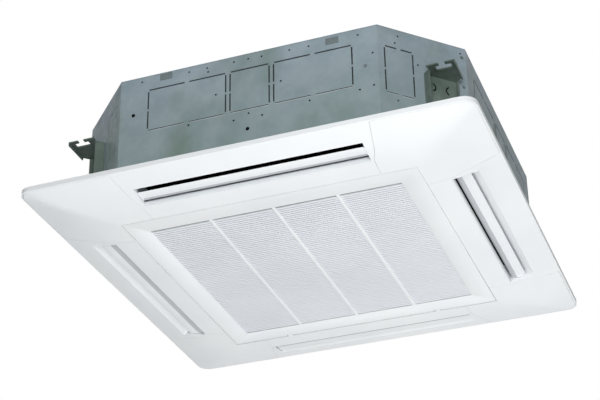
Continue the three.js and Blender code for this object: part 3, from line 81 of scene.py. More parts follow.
# %% Colour and node helpers
def colour(hex_code):
    """A hex colour as linear RGBA."""
    channels = [int(hex_code[i:i + 2], 16) / 255 for i in (0, 2, 4)]
    linear = [c / 12.92 if c <= 0.04045 else ((c + 0.055) / 1.055) ** 2.4 for c in channels]
    return (*linear, 1.0)


def add_node(tree, kind, settings=None, links=None):
    """Adds a node, sets its settings, and fills its inputs with values or links."""
    node = tree.nodes.new(kind)
    for name, value in (settings or {}).items():
        setattr(node, name, value)
    for socket, source in (links or {}).items():
        if isinstance(source, bpy.types.NodeSocket):
            tree.links.new(source, node.inputs[socket])
        else:
            node.inputs[socket].default_value = source
    return node


def start_material(name, **constants):
    """A new material: its tree, its shader and the Object coordinates that patterns read."""
    material = bpy.data.materials.new(name)
    material.use_nodes = True
    tree = material.node_tree
    tree.nodes.clear()
    shader = add_node(tree, "ShaderNodeBsdfPrincipled", links=constants)
    add_node(tree, "ShaderNodeOutputMaterial", links={"Surface": shader.outputs[0]})
    place = add_node(tree, "ShaderNodeTexCoord").outputs["Object"]
    return material, tree, shader, place


def noise(tree, place, size_mm, detail=3, stretch=(1, 1, 1)):
    """A noise whose blobs are about size_mm across, as a value around 0.5."""
    at = add_node(tree, "ShaderNodeMapping", links={"Vector": place, "Scale": stretch})
    texture = add_node(tree, "ShaderNodeTexNoise", links={
        "Vector": at.outputs[0], "Scale": 1 / (size_mm * MM), "Detail": detail})
    return texture.outputs[0]


def spread(tree, value, low, high, to_low, to_high):
    """Stretches the range low..high of a value to to_low..to_high."""
    return add_node(tree, "ShaderNodeMapRange", links={
        "Value": value, "From Min": low, "From Max": high,
        "To Min": to_low, "To Max": to_high}).outputs[0]


def blend_colours(tree, share, first, second):
    """Mixes two colours, or two colour sockets, by a share from 0 to 1."""
    node = add_node(tree, "ShaderNodeMix", {"data_type": "RGBA"}, {0: share, 6: first, 7: second})
    return node.outputs[2]


def add_bump(tree, shader, height, depth_mm, strength=1.0):
    """Raises or sinks the surface, for the light only, by a depth in millimetres."""
    bump = add_node(tree, "ShaderNodeBump", links={
        "Height": height, "Distance": depth_mm * MM, "Strength": strength})
    tree.links.new(bump.outputs[0], shader.inputs["Normal"])


print("white panel colour, linear:", [round(c, 3) for c in colour("eef1f3")])

# %% [markdown]
# ## Helpers for meshes
# Shapes that no tree makes are built in Blender's editable mesh, the bmesh. Each is kept as a plain mesh and
# placed as a piece that rides on one body of the unit, and the solids' edges are rounded as well. A prism
# between two rings of points gives every bar and strip, and a cube between two corners gives every box.

# %% Mesh helpers
CURVE_DEGREES = 32  # on the solids, faces that meet at less than this are one curve
SHARP_DEGREES = 40  # the same for pieces made here


def keep_mesh(name, form, sharp_degrees=None):
    """Keeps a bmesh as a plain mesh, shaded smooth up to a sharp angle if one is given."""
    mesh = bpy.data.meshes.new(name)
    form.to_mesh(mesh)
    form.free()
    if sharp_degrees:
        mesh.shade_smooth()
        mesh.set_sharp_from_angle(angle=math.radians(sharp_degrees))
    return mesh


def place_piece(name, mesh, material, body="unit"):
    """Places a mesh with one material as a piece that rides on a body."""
    mesh.materials.clear()
    mesh.materials.append(material)
    piece = bpy.data.objects.new(name, mesh)
    scene.collection.objects.link(piece)
    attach(piece, body)
    return piece


def round_edges(piece, width_mm):
    """Bevels every edge that is sharper than a shallow curve."""
    bevel = piece.modifiers.new("rounded_edges", "BEVEL")
    bevel.width = width_mm * MM
    bevel.segments = 2
    bevel.limit_method = "ANGLE"
    bevel.angle_limit = math.radians(CURVE_DEGREES)
    bevel.harden_normals = True


def prism(name, first, second, sharp_degrees=None):
    """A closed bar between two rings of points in millimetres."""
    form = bmesh.new()
    ends = [[form.verts.new(Vector(point) * MM) for point in ring] for ring in (first, second)]
    for i in range(len(first)):
        j = (i + 1) % len(first)
        form.faces.new((ends[0][i], ends[0][j], ends[1][j], ends[1][i]))
    for ring in ends:
        form.faces.new(ring)
    bmesh.ops.recalc_face_normals(form, faces=form.faces)
    return keep_mesh(name, form, sharp_degrees)


def box_matrix(low, high):
    """Turns a unit cube into the box between two corners in millimetres."""
    middle = (Vector(low) + Vector(high)) / 2
    size = [(to - start) * MM for start, to in zip(low, high)]
    return Matrix.Translation(middle * MM) @ Matrix.Diagonal((*size, 1))


print("mesh helpers are ready")

# %% [markdown]
# ## White moulded plastic
# The panel, the grille, the flaps and the corner covers are moulded in one white resin. Its faces carry a
# fine spark-eroded grain, about half a millimetre across, that makes them satin. The colour hardly varies,
# but a slow drift of tone over the width of a hand keeps the large flat faces from looking computed.

# %% Moulded plastics
def moulded_plastic(name, light, dark, roughness, grain_mm=0.5, grain_depth=0.02):
    """A satin resin with a fine grain and a slow drift between two tones."""
    material, tree, shader, place = start_material(
        name, **{"IOR": 1.49, "Specular IOR Level": 0.42})
    drift = noise(tree, place, 180, detail=2)
    tone = blend_colours(tree, spread(tree, drift, 0.35, 0.65, 0, 1), colour(light), colour(dark))
    tree.links.new(tone, shader.inputs["Base Color"])
    sheen = spread(tree, noise(tree, place, 40), 0.3, 0.7, roughness - 0.04, roughness + 0.04)
    tree.links.new(sheen, shader.inputs["Roughness"])
    add_bump(tree, shader, noise(tree, place, grain_mm), grain_depth)
    return material


white_plastic = moulded_plastic("white_moulded_plastic", "eef1f3", "e9edf0", 0.42)
grey_plastic = moulded_plastic("grey_moulded_plastic", "8d9092", "83878a", 0.5)
print(white_plastic.name, "and", grey_plastic.name)

# %% [markdown]
# ## Galvanised sheet
# The casing and the brackets are steel sheet that was dipped in zinc. The zinc froze in crystals about a
# centimetre across, which show as faint patches, each with its own shine. Rolling left fine lines, and
# handling left dull stains. Towards the foot the colour also turns darker and greener, as painted shade.
# A Voronoi pattern gives the crystals, two noises give the stains, and a ramp in height the painted shade.
# The sheet is hardly metallic to the shader, because the grey oxide skin on old zinc scatters light as
# paint does. Bright pins keep most of their metal.

# %% Zinc on steel
def zinc_sheet(name, light, dark, stain_and_shade_colour, metallic, foot_shade_strength=0.0):
    """Zinc on steel: crystals in two tones, stains, and a painted shade near the foot if one is asked for.
    """
    material, tree, shader, place = start_material(
        name, **{"Metallic": metallic, "Specular IOR Level": 0.1})
    crystals = add_node(tree, "ShaderNodeTexVoronoi", {"feature": "F1"}, {
        "Vector": place, "Scale": 1 / (13 * MM), "Randomness": 1.0})
    crystal = add_node(tree, "ShaderNodeSeparateColor", links={
        "Color": crystals.outputs["Color"]}).outputs[0]
    patches = noise(tree, place, 55, detail=4)
    shade = add_node(tree, "ShaderNodeMath", {"operation": "MULTIPLY_ADD"}, {
        0: crystal, 1: 0.22, 2: spread(tree, patches, 0.3, 0.7, 0, 0.78)}).outputs[0]
    metal = blend_colours(tree, shade, colour(light), colour(dark))
    blot = noise(tree, place, 120, detail=5, stretch=(1, 1, 0.6))
    height = add_node(tree, "ShaderNodeSeparateXYZ", links={"Vector": place}).outputs[2]
    # painted shade: darker and greener towards the foot of the casing
    painted_foot_shade = spread(tree, height, -0.15, 0.09, foot_shade_strength, 0.0)
    stain_and_foot_shade = add_node(tree, "ShaderNodeMath", {"operation": "ADD", "use_clamp": True}, {
        0: spread(tree, blot, 0.5, 0.72, 0, 0.55), 1: painted_foot_shade}).outputs[0]
    tree.links.new(blend_colours(tree, stain_and_foot_shade, metal, colour(stain_and_shade_colour)), shader.inputs["Base Color"])
    dull = spread(tree, crystal, 0, 1, 0.42, 0.56)
    tree.links.new(dull, shader.inputs["Roughness"])
    rolled = noise(tree, place, 1.2, detail=2, stretch=(0.05, 0.05, 1))
    add_bump(tree, shader, rolled, 0.02, 0.6)
    return material


casing_zinc = zinc_sheet(
    "galvanised_casing_sheet", "a0aeb6", "8c9ca5", "73857d", metallic=0.05, foot_shade_strength=0.5)
hanger_zinc = zinc_sheet("galvanised_hanger_sheet", "75827c", "596760", "414f46", metallic=0.05)
tab_steel = zinc_sheet("tab_steel", "7f8a8c", "6f7a7c", "626d6c", metallic=0.08)
dark_steel = zinc_sheet("phosphated_dark_steel", "3c4142", "2f3435", "272b2c", metallic=0.5)
pin_steel = zinc_sheet("bright_pin_steel", "b9bcbd", "a4a8a9", "8f9394", metallic=0.9)
print("zinc finishes:", casing_zinc.name, hanger_zinc.name, dark_steel.name, pin_steel.name)

# %% [markdown]
# ## The finishes that hide inside
# The drain pan is black bead foam: beads a few millimetres across, pressed together, so a Voronoi pattern
# with soft cells sets its bump, and darkens each bead towards its edge as painted shade in the crevices.
# Aluminium fins, copper pipe, brass nuts, rubber bushes and a green circuit board complete the inside, and
# each is kept as plain as such a part is when it is clean.

# %% Foam, rubber and board
def bead_foam():
    """Black foam of pressed beads, each four millimetres across."""
    material, tree, shader, place = start_material(
        "black_bead_foam", **{"Roughness": 0.92, "Specular IOR Level": 0.12})
    beads = add_node(tree, "ShaderNodeTexVoronoi", {"feature": "F1"}, {
        "Vector": place, "Scale": 1 / (4 * MM), "Randomness": 0.8}).outputs["Distance"]
    # darker towards each bead's edge: painted shade in the crevices between beads
    tone = blend_colours(tree, beads, colour("1b1c1d"), colour("0f1011"))
    tree.links.new(tone, shader.inputs["Base Color"])
    add_bump(tree, shader, beads, -0.5, 0.8)
    return material


def circuit_board():
    """Green lacquer over lighter copper tracks."""
    material, tree, shader, place = start_material("green_circuit_board", **{"Roughness": 0.35})
    tracks = add_node(tree, "ShaderNodeTexBrick", {"offset": 0.5}, {
        "Vector": place, "Scale": 1 / (9 * MM), "Mortar Size": 0.06,
        "Color1": colour("14542c"), "Color2": colour("114a28"), "Mortar": colour("2c7a45")})
    tree.links.new(tracks.outputs[0], shader.inputs["Base Color"])
    add_bump(tree, shader, tracks.outputs[1], 0.05)
    return material


black_foam = bead_foam()
board_green = circuit_board()
black_rubber = moulded_plastic("black_rubber", "1c1d1e", "161718", 0.7, grain_mm=0.8)
net_black = moulded_plastic("filter_net_thread", "2b2f31", "24282a", 0.55, grain_mm=0.6)
print(black_foam.name, board_green.name, black_rubber.name, net_black.name)

# %% Aluminium, copper and brass
def bare_metal(name, light, dark, roughness, patch_mm=30):
    """Uncoated metal, duller and darker in patches."""
    material, tree, shader, place = start_material(name, **{"Metallic": 1.0})
    patch = spread(tree, noise(tree, place, patch_mm, detail=4), 0.3, 0.7, 0, 1)
    tree.links.new(blend_colours(tree, patch, colour(light), colour(dark)), shader.inputs["Base Color"])
    tree.links.new(spread(tree, patch, 0, 1, roughness, roughness + 0.12), shader.inputs["Roughness"])
    add_bump(tree, shader, noise(tree, place, 0.6), 0.01)
    return material


fin_aluminium = bare_metal("coil_fin_aluminium", "d3d6d8", "b9bec1", 0.34)
copper = bare_metal("copper_pipe", "c9805a", "9c5b3d", 0.28)
brass = bare_metal("brass_nut", "c9a659", "a98740", 0.26)
print(fin_aluminium.name, copper.name, brass.name)

# %% [markdown]
# ## Edges that catch the light
# No pressed or moulded edge is perfectly sharp. Each solid is copied, its loose triangles are merged and
# flat neighbours are joined, and a small bevel rounds every real edge: a third of a millimetre on sheet, up
# to one on foam. Pipes and the filter's thin frame keep their edges. Faces that meet at a shallow angle are
# shaded as one curve, so the panel's dish and the blades look moulded and not faceted. The copy then stands
# for the solid, which stays in the frame.

# %% Copy a solid and round its edges
def refined(node, material, bevel_mm):
    """A merged, bevelled and smooth copy of a CAD solid that stands for it."""
    form = bmesh.new()
    form.from_mesh(frame["nodes"][node].data)
    bmesh.ops.remove_doubles(form, verts=form.verts, dist=0.002 * MM)
    if bevel_mm:
        bmesh.ops.dissolve_limit(
            form, angle_limit=math.radians(0.4), verts=form.verts, edges=form.edges,
            use_dissolve_boundaries=False)
    mesh = keep_mesh(node + "_finish", form, CURVE_DEGREES)
    piece = place_piece(mesh.name, mesh, material, frame["nodes"][node]["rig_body"])
    if bevel_mm:
        round_edges(piece, bevel_mm)
    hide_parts(node)
    return piece


slot_of = {part["node"]: part["material_slot"] for part in frame["record"]["subparts"]}
finish_of = {
    "white_plastic": (white_plastic, 0.6), "galvanised_sheet": (casing_zinc, 0.35),
    "dark_steel": (dark_steel, 0.5), "black_foam": (black_foam, 1.0),
    "grey_plastic": (grey_plastic, 0.5), "steel_pin": (pin_steel, 0.2),
    "coil_fins": (fin_aluminium, 0.0), "copper_pipe": (copper, 0.0), "brass_nut": (brass, 0.4),
    "rubber": (black_rubber, 0.8), "filter_net": (net_black, 0.0), "circuit_board": (board_green, 0.2),
}
own_piece = {"heat_exchanger", "intake_grille"}  # these two come further down
plain_nodes = [node for node in sorted(slot_of) if node not in own_piece]
for node in plain_nodes:
    material, edge = finish_of[slot_of[node]]
    if node.startswith("hanger_"):
        material = hanger_zinc
    refined(node, material, edge)
print(len(plain_nodes), "solids merged, bevelled and finished")

# %% [markdown]
# ## The flaps' lips and the outlets' ledges
# The blade's edge towards the grille curls up into the duct, so it turns from the light and shows as a
# soft grey strip beside the dark gap; the lip is also coloured grey, as painted shade on white plastic.
# Across the gap the frame has a narrow rounded ledge, coloured light grey as painted shade. Both are drawn
# as a section of points and lofted along the outlet.

# %% Lips and ledges along the outlets
LIP_HALF, LEDGE_HALF = 236, 239.8  # mm: half the length of each
# the lip's grey and the ledge's light grey are painted shade on parts of white plastic
lip_painted_shade_plastic = moulded_plastic("flap_lip_painted_shade", "bfc3c7", "b9bdc1", 0.5)
ledge_painted_shade_plastic = moulded_plastic("outlet_ledge_painted_shade", "d6dadd", "d0d4d7", 0.5)
lip_section = [  # [out, height] in mm, from the blade's underside round and back
    (384, -178.9), (379.5, -178.7), (376, -177.7), (373.4, -175.9), (371.2, -173.6), (369.4, -170.6),
    (368.6, -167.6), (370, -167.4), (371, -169.8), (372.6, -172.2), (374.8, -174.2), (377.5, -175.6),
    (384, -176.4)]
ledge_section = [
    (365.9, -185.8), (367.7, -185.2), (368.7, -183.6), (368.7, -177.2), (367.7, -175.8), (365.9, -175.2)]
for turns, side in enumerate(("front", "right", "back", "left")):
    for label, section, half, finish, body in (
            ("flap_lip_", lip_section, LIP_HALF, lip_painted_shade_plastic, "louvre_" + side),
            ("outlet_ledge_", ledge_section, LEDGE_HALF, ledge_painted_shade_plastic, "unit")):
        left, right = [[(x, -out, z) for out, z in section] for x in (-half, half)]
        mesh = prism(label + side, left, right, SHARP_DEGREES)
        mesh.transform(Matrix.Rotation(math.radians(90 * turns), 4, "Z"))
        place_piece(label + side, mesh, finish, body)
print("four lips and four ledges")

# %% [markdown]
# ## Running a node tree
# What repeats is made by Geometry Nodes: one small shape, put on many points. Each tree has named inputs
# for its sizes. The result is read back as a plain mesh and tied to one body of the unit, because an
# export keeps neither instances nor live trees.

# %% Helpers for Geometry Nodes
def start_tree(name, **inputs):
    """A Geometry Nodes tree with a geometry in and out, and one named input for each size."""
    tree = bpy.data.node_groups.new(name, "GeometryNodeTree")
    tree.interface.new_socket("Geometry", in_out="INPUT", socket_type="NodeSocketGeometry")
    tree.interface.new_socket("Geometry", in_out="OUTPUT", socket_type="NodeSocketGeometry")
    for label, value in inputs.items():
        kind = "NodeSocketInt" if isinstance(value, int) else "NodeSocketFloat"
        socket = tree.interface.new_socket(label, in_out="INPUT", socket_type=kind)
        socket.default_value = value
    return tree, tree.nodes.new("NodeGroupInput")


def end_tree(tree, geometry, material):
    """Ends a tree: instances made real, and the material set."""
    real = add_node(tree, "GeometryNodeRealizeInstances", links={"Geometry": geometry})
    painted = add_node(tree, "GeometryNodeSetMaterial", links={
        "Geometry": real.outputs[0], "Material": material})
    add_node(tree, "NodeGroupOutput", links={0: painted.outputs[0]})


def run_tree(name, tree, body, slot, base=None, **sizes):
    """Runs a tree on a mesh, keeps the result as a plain mesh, and ties it to its body."""
    piece = bpy.data.objects.new(name, base or bpy.data.meshes.new(name))
    scene.collection.objects.link(piece)
    modifier = piece.modifiers.new("tree", "NODES")
    modifier.node_group = tree
    for item in tree.interface.items_tree:
        if item.in_out == "INPUT" and item.name in sizes:
            modifier[item.identifier] = sizes[item.name]
    graph = bpy.context.evaluated_depsgraph_get()
    plain = bpy.data.meshes.new_from_object(piece.evaluated_get(graph))
    piece.modifiers.clear()
    piece.data = plain
    plain.name = name
    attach(piece, body)
    print(name, "has", len(plain.polygons), "faces")
    return piece


def marked_points(name, places):
    """A mesh of loose points, each with the direction that its shape faces."""
    mesh = bpy.data.meshes.new(name)
    mesh.from_pydata([Vector(point) * MM for point, _ in places], [], [])
    facing = mesh.attributes.new("facing", "FLOAT_VECTOR", "POINT")
    for row, (_, direction) in zip(facing.data, places):
        row.vector = direction
    return mesh


def stamp_on_points(tree, shape):
    """Puts a shape, which faces +Z, on every point of the incoming mesh along its facing."""
    source = next(n for n in tree.nodes if n.bl_idname == "NodeGroupInput")
    facing = add_node(tree, "GeometryNodeInputNamedAttribute", {"data_type": "FLOAT_VECTOR"}, {
        "Name": "facing"})
    turned = add_node(tree, "FunctionNodeAlignRotationToVector", {"axis": "Z"}, {
        "Vector": facing.outputs[0]})
    points = add_node(tree, "GeometryNodeMeshToPoints", links={0: source.outputs[0]})
    return add_node(tree, "GeometryNodeInstanceOnPoints", links={
        "Points": points.outputs[0], "Instance": shape, "Rotation": turned.outputs[0]}).outputs[0]


print("node tree helpers are ready")

# %% [markdown]
# ## Coil fins
# The heat exchanger is a ring of hundreds of thin aluminium fins on copper tubes. Fins follow a path, so a
# tree is the natural way: the ring's middle line is a curve, cut into even steps, with one upright plate
# on each step, square to the path. The real pitch is 1.5 mm. Here it is 4 mm, because nobody can count
# them through the outlets, and the mesh stays light.

# %% Coil fins along the ring
def coil_path(middle, radius, open_from):
    """The ring's middle line, from one side of the open corner round to the other."""
    path = [(-open_from, middle)]
    for turn, (sx, sy) in enumerate(((1, 1), (1, -1), (-1, -1))):
        centre = (sx * (middle - radius), sy * (middle - radius))
        for step in range(9):
            angle = math.radians(90 - 90 * turn - 11.25 * step)
            path.append((centre[0] + radius * math.cos(angle), centre[1] + radius * math.sin(angle)))
    return path + [(-middle, open_from)]


def fin_tree():
    """Upright plates at even steps along a line, square to it."""
    tree, source = start_tree("coil_fins", Pitch=0.004, Depth=0.045, Height=0.212, Thickness=0.0006)
    curve = add_node(tree, "GeometryNodeMeshToCurve", links={"Mesh": source.outputs[0]})
    steps = add_node(tree, "GeometryNodeResampleCurve", {"mode": "LENGTH"}, {
        "Curve": curve.outputs[0], "Length": source.outputs["Pitch"]})
    size = add_node(tree, "ShaderNodeCombineXYZ", links={
        "X": source.outputs["Thickness"], "Y": source.outputs["Depth"], "Z": source.outputs["Height"]})
    plate = add_node(tree, "GeometryNodeMeshCube", links={"Size": size.outputs[0]})
    tangent = add_node(tree, "GeometryNodeInputTangent")
    turned = add_node(tree, "FunctionNodeAlignRotationToVector", {"axis": "X", "pivot_axis": "Z"}, {
        "Vector": tangent.outputs[0]})
    fins = add_node(tree, "GeometryNodeInstanceOnPoints", links={
        "Points": steps.outputs[0], "Instance": plate.outputs[0], "Rotation": turned.outputs[0]})
    end_tree(tree, fins.outputs[0], fin_aluminium)
    return tree


def line_mesh(name, points):
    """A mesh of edges from point to point, in millimetres."""
    mesh = bpy.data.meshes.new(name)
    mesh.from_pydata([Vector(p) * MM for p in points], [(i, i + 1) for i in range(len(points) - 1)], [])
    return mesh


COIL_DEPTH, COIL_CORNER, COIL_OPEN = 45, 85, 215  # mm: its depth, outer corner radius and open side
coil_low, coil_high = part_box("heat_exchanger")


def coil_ring(inset=0):
    """The ring at the middle of the coil's depth, moved outwards by an inset."""
    off = COIL_DEPTH / 2 - inset
    return coil_path(coil_high.x / MM - off, COIL_CORNER - off, COIL_OPEN)


middle_z = (coil_low.z + coil_high.z) / 2 / MM
coil_fins = run_tree(
    "coil_fins", fin_tree(), "unit", "coil_fins",
    base=line_mesh("coil_ring", [(x, y, middle_z) for x, y in coil_ring()]),
    Pitch=4 * MM, Depth=COIL_DEPTH * MM, Height=coil_high.z - coil_low.z, Thickness=0.6 * MM)

# %% Coil tubes
def tube(points, radius_mm):
    """A round rod along a line of points, as a plain mesh."""
    curve = bpy.data.curves.new("rod", "CURVE")
    curve.dimensions = "3D"
    curve.bevel_depth = radius_mm * MM
    curve.bevel_resolution = 3
    curve.use_fill_caps = True
    spline = curve.splines.new("POLY")
    spline.points.add(len(points) - 1)
    for point, place in zip(spline.points, points):
        point.co = (*(Vector(place) * MM), 1)
    holder = bpy.data.objects.new("rod_curve", curve)
    scene.collection.objects.link(holder)
    graph = bpy.context.evaluated_depsgraph_get()
    mesh = bpy.data.meshes.new_from_object(holder.evaluated_get(graph))
    bpy.data.objects.remove(holder)
    return mesh


def joined_piece(name, meshes, material, body="unit"):
    """Joins meshes into one piece with outward faces, and ties it to its body."""
    form = bmesh.new()
    for mesh in meshes:
        form.from_mesh(mesh)
    bmesh.ops.remove_doubles(form, verts=form.verts, dist=0.002 * MM)
    bmesh.ops.recalc_face_normals(form, faces=form.faces)
    return place_piece(name, keep_mesh(name, form, SHARP_DEGREES), material, body)


TUBE_ROWS, TUBE_RADIUS = 8, 3.5  # the radius in mm
row_gap = (coil_high.z - coil_low.z) / MM / TUBE_ROWS
tubes = []
for row in range(TUBE_ROWS):
    z = coil_low.z / MM + (row + 0.5) * row_gap
    for inset in (-11, 11):
        tubes.append(tube([(x, y, z) for x, y in coil_ring(inset)], TUBE_RADIUS))
joined_piece("coil_tubes", tubes, copper)
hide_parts("heat_exchanger")
print(len(tubes), "copper runs through", len(coil_fins.data.polygons) // 6, "fins")

# %% [markdown]
# ## The intake grille
# The grille is one moulding: a frame with four columns of fine leaning slats. From the room the slats hide
# the gaps between them, so the field reads a shade darker than the frame, with faint lines; the slats are
# coloured a little darker than the frame as painted shade. The frame is the solid with its columns opened
# by a Boolean. The slats are one leaning bar with a crowned tip, put on a row of points by a tree, and the
# row on four column points.

# %% The frame with open columns
COLUMN_STEP, COLUMN_HALF = 137.5, 65.25  # mm: from column to column, and half an opened column
FIELD_FRONT, FIELD_BACK = -271, 264.5  # mm: where the openings start and end
column_middles = [COLUMN_STEP * (i - 1.5) for i in range(4)]
grille_frame = refined("intake_grille", white_plastic, 0)
form = bmesh.new()
for middle in column_middles:
    cube = bmesh.ops.create_cube(form, size=1)["verts"]
    bmesh.ops.transform(form, verts=cube, matrix=box_matrix(
        (middle - COLUMN_HALF, FIELD_FRONT, -190), (middle + COLUMN_HALF, FIELD_BACK, -181)))
opener = bpy.data.objects.new("opener", keep_mesh("opener", form))
scene.collection.objects.link(opener)
opening = grille_frame.modifiers.new("open_columns", "BOOLEAN")
opening.object, opening.operation, opening.solver = opener, "DIFFERENCE", "EXACT"
graph = bpy.context.evaluated_depsgraph_get()
grille_frame.data = bpy.data.meshes.new_from_object(grille_frame.evaluated_get(graph))
grille_frame.modifiers.clear()
bpy.data.objects.remove(opener)
round_edges(grille_frame, 0.5)
print("grille frame has", len(grille_frame.data.polygons), "faces")

# %% Slats in four columns
# the slats' colour is a little darker than the frame's: painted shade of the gaps between them
slat_painted_shade_plastic = moulded_plastic("slat_painted_shade_plastic", "e7ebf0", "e3e7ec", 0.6, grain_mm=0.8)


def slat_tree():
    """Rows of one bar that leans forward as it rises and has a crowned tip, in four columns."""
    tree, source = start_tree(
        "grille_slats", Width=0.13, Tip=0.0044, Depth=0.0068, Lean=0.6, Crown=60.0,
        Pitch=0.008, Rows=66, Columns=4, Step=0.1375)
    size = add_node(tree, "ShaderNodeCombineXYZ", links={
        "X": source.outputs["Width"], "Y": source.outputs["Tip"], "Z": source.outputs["Depth"]})
    bar = add_node(tree, "GeometryNodeMeshCube", links={
        "Size": size.outputs[0], "Vertices X": 2, "Vertices Y": 4, "Vertices Z": 2})
    place = add_node(tree, "GeometryNodeInputPosition")
    parts = add_node(tree, "ShaderNodeSeparateXYZ", links={0: place.outputs[0]})
    leaning = add_node(tree, "ShaderNodeMath", {"operation": "MULTIPLY"}, {
        0: parts.outputs["Z"], 1: source.outputs["Lean"]})
    forward = add_node(tree, "ShaderNodeMath", {"operation": "MULTIPLY"}, {
        0: leaning.outputs[0], 1: -1.0})
    squared = add_node(tree, "ShaderNodeMath", {"operation": "MULTIPLY"}, {
        0: parts.outputs["Y"], 1: parts.outputs["Y"]})
    crown = add_node(tree, "ShaderNodeMath", {"operation": "MULTIPLY"}, {
        0: squared.outputs[0], 1: source.outputs["Crown"]})
    shift = add_node(tree, "ShaderNodeCombineXYZ", links={
        "Y": forward.outputs[0], "Z": crown.outputs[0]})
    slat = add_node(tree, "GeometryNodeSetPosition", links={
        "Geometry": bar.outputs[0], "Offset": shift.outputs[0]})
    onward = add_node(tree, "ShaderNodeCombineXYZ", links={"Y": source.outputs["Pitch"]})
    row = add_node(tree, "GeometryNodeMeshLine", {"mode": "OFFSET"}, {
        "Count": source.outputs["Rows"], "Offset": onward.outputs[0]})
    field = add_node(tree, "GeometryNodeInstanceOnPoints", links={
        "Points": row.outputs[0], "Instance": slat.outputs[0]})
    aside = add_node(tree, "ShaderNodeCombineXYZ", links={"X": source.outputs["Step"]})
    columns = add_node(tree, "GeometryNodeMeshLine", {"mode": "OFFSET"}, {
        "Count": source.outputs["Columns"], "Offset": aside.outputs[0]})
    fields = add_node(tree, "GeometryNodeInstanceOnPoints", links={
        "Points": columns.outputs[0], "Instance": field.outputs[0]})
    end_tree(tree, fields.outputs[0], slat_painted_shade_plastic)
    return tree


slats = run_tree(
    "grille_slats", slat_tree(), "grille", "white_plastic", Width=(2 * COLUMN_HALF + 1) * MM,
    Tip=4.4 * MM, Depth=6.8 * MM, Lean=0.6, Crown=60.0, Pitch=8 * MM, Rows=66, Columns=4,
    Step=COLUMN_STEP * MM)
first_slat = Vector((column_middles[0], FIELD_FRONT + 8.4, -185.4)) * MM
slats.data.transform(Matrix.Translation(first_slat))

# %% [markdown]
# ## The filter's net
# A washable net is moulded into the filter's frame: thin crossing threads, 3 mm apart. Two families of
# threads are two rows of one rod, so a tree with a line of points for each family makes the whole net.

# %% Net threads
def net_tree():
    """Two crossing families of thin square threads."""
    tree, source = start_tree("filter_net", Width=0.5, Depth=0.5, Pitch=0.003, Thread=0.0005)
    families = []
    for along, across, x_axis in (("Width", "Depth", True), ("Depth", "Width", False)):
        count = add_node(tree, "ShaderNodeMath", {"operation": "DIVIDE"}, {
            0: source.outputs[across], 1: source.outputs["Pitch"]})
        first = add_node(tree, "ShaderNodeMath", {"operation": "MULTIPLY"}, {
            0: source.outputs[across], 1: -0.5})
        axis = "Y" if x_axis else "X"
        start = add_node(tree, "ShaderNodeCombineXYZ", links={axis: first.outputs[0]})
        step = add_node(tree, "ShaderNodeCombineXYZ", links={axis: source.outputs["Pitch"]})
        line = add_node(tree, "GeometryNodeMeshLine", {"mode": "OFFSET"}, {
            "Count": count.outputs[0], "Start Location": start.outputs[0], "Offset": step.outputs[0]})
        size = add_node(tree, "ShaderNodeCombineXYZ", links={
            "X": source.outputs["Width"] if x_axis else source.outputs["Thread"],
            "Y": source.outputs["Thread"] if x_axis else source.outputs["Depth"],
            "Z": source.outputs["Thread"]})
        rod = add_node(tree, "GeometryNodeMeshCube", links={"Size": size.outputs[0]})
        families.append(add_node(tree, "GeometryNodeInstanceOnPoints", links={
            "Points": line.outputs[0], "Instance": rod.outputs[0]}).outputs[0])
    both = add_node(tree, "GeometryNodeJoinGeometry")
    for family in families:
        tree.links.new(family, both.inputs[0])
    end_tree(tree, both.outputs[0], net_black)
    return tree


NET_BORDER = 12 * MM  # both borders together, inside the filter's frame
filter_low, filter_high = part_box("air_filter")
net = run_tree(
    "filter_net", net_tree(), "grille", "filter_net", Width=filter_high.x - filter_low.x - NET_BORDER,
    Depth=filter_high.y - filter_low.y - NET_BORDER, Pitch=3 * MM, Thread=0.5 * MM)
net.data.transform(Matrix.Translation((filter_low + filter_high) / 2))
print("net threads lie at z =", round(net.data.vertices[0].co.z / MM, 1), "mm")

# %% [markdown]
# ## Punched holes in the casing
# The front plate and the chamfer beside it carry some thirty small punched holes, for screws that hold the
# parts inside. Seen from the room each is a dark dot with a thin rim where the punch turned the zinc. One
# tree puts the rims and another the dark cups on the measured places, in two sizes. One large hole isn't
# punched through, so its cup is plain steel.

# %% Rims and cups of the punched holes
CHAMFER_X, CHAMFER_Y = 141, 147  # mm: the chamfer's reach along the front and along the side


def on_front(x, z_photo):
    """A place on the front plate, from a height that was measured in the photograph."""
    return (x, -CASING_HALF, z_photo + PHOTO_ZERO), (0, -1, 0)


def on_right_chamfer(along, z_photo):
    """A place on the front right chamfer, measured along it from the front plate."""
    run = Vector((CHAMFER_X, CHAMFER_Y, 0)).normalized() * along
    normal = Vector((CHAMFER_Y, -CHAMFER_X, 0)).normalized()
    return (CASING_HALF - CHAMFER_X + run.x, run.y - CASING_HALF, z_photo + PHOTO_ZERO), tuple(normal)


small_holes = [on_front(x, z) for x, z in (
    (-231, 242), (-125, 241), (-85, 241), (-83, 231), (-26, 241), (5, 241), (34, 240), (94, 240),
    (135, 239), (239, 239), (-65, 171), (75, 170), (268, 189), (268, 113), (-124, 112), (6, 110),
    (-26, 100), (35, 99), (135, 109), (239, 109))]
small_holes += [on_right_chamfer(a, z) for a, z in (
    (46, 239), (39, 221), (89.5, 182.5), (40, 85), (191, 240))]
large_holes = [on_front(x, z) for x, z in ((-248, 164), (4, 74))]
blind_holes = [on_front(252, 162)]


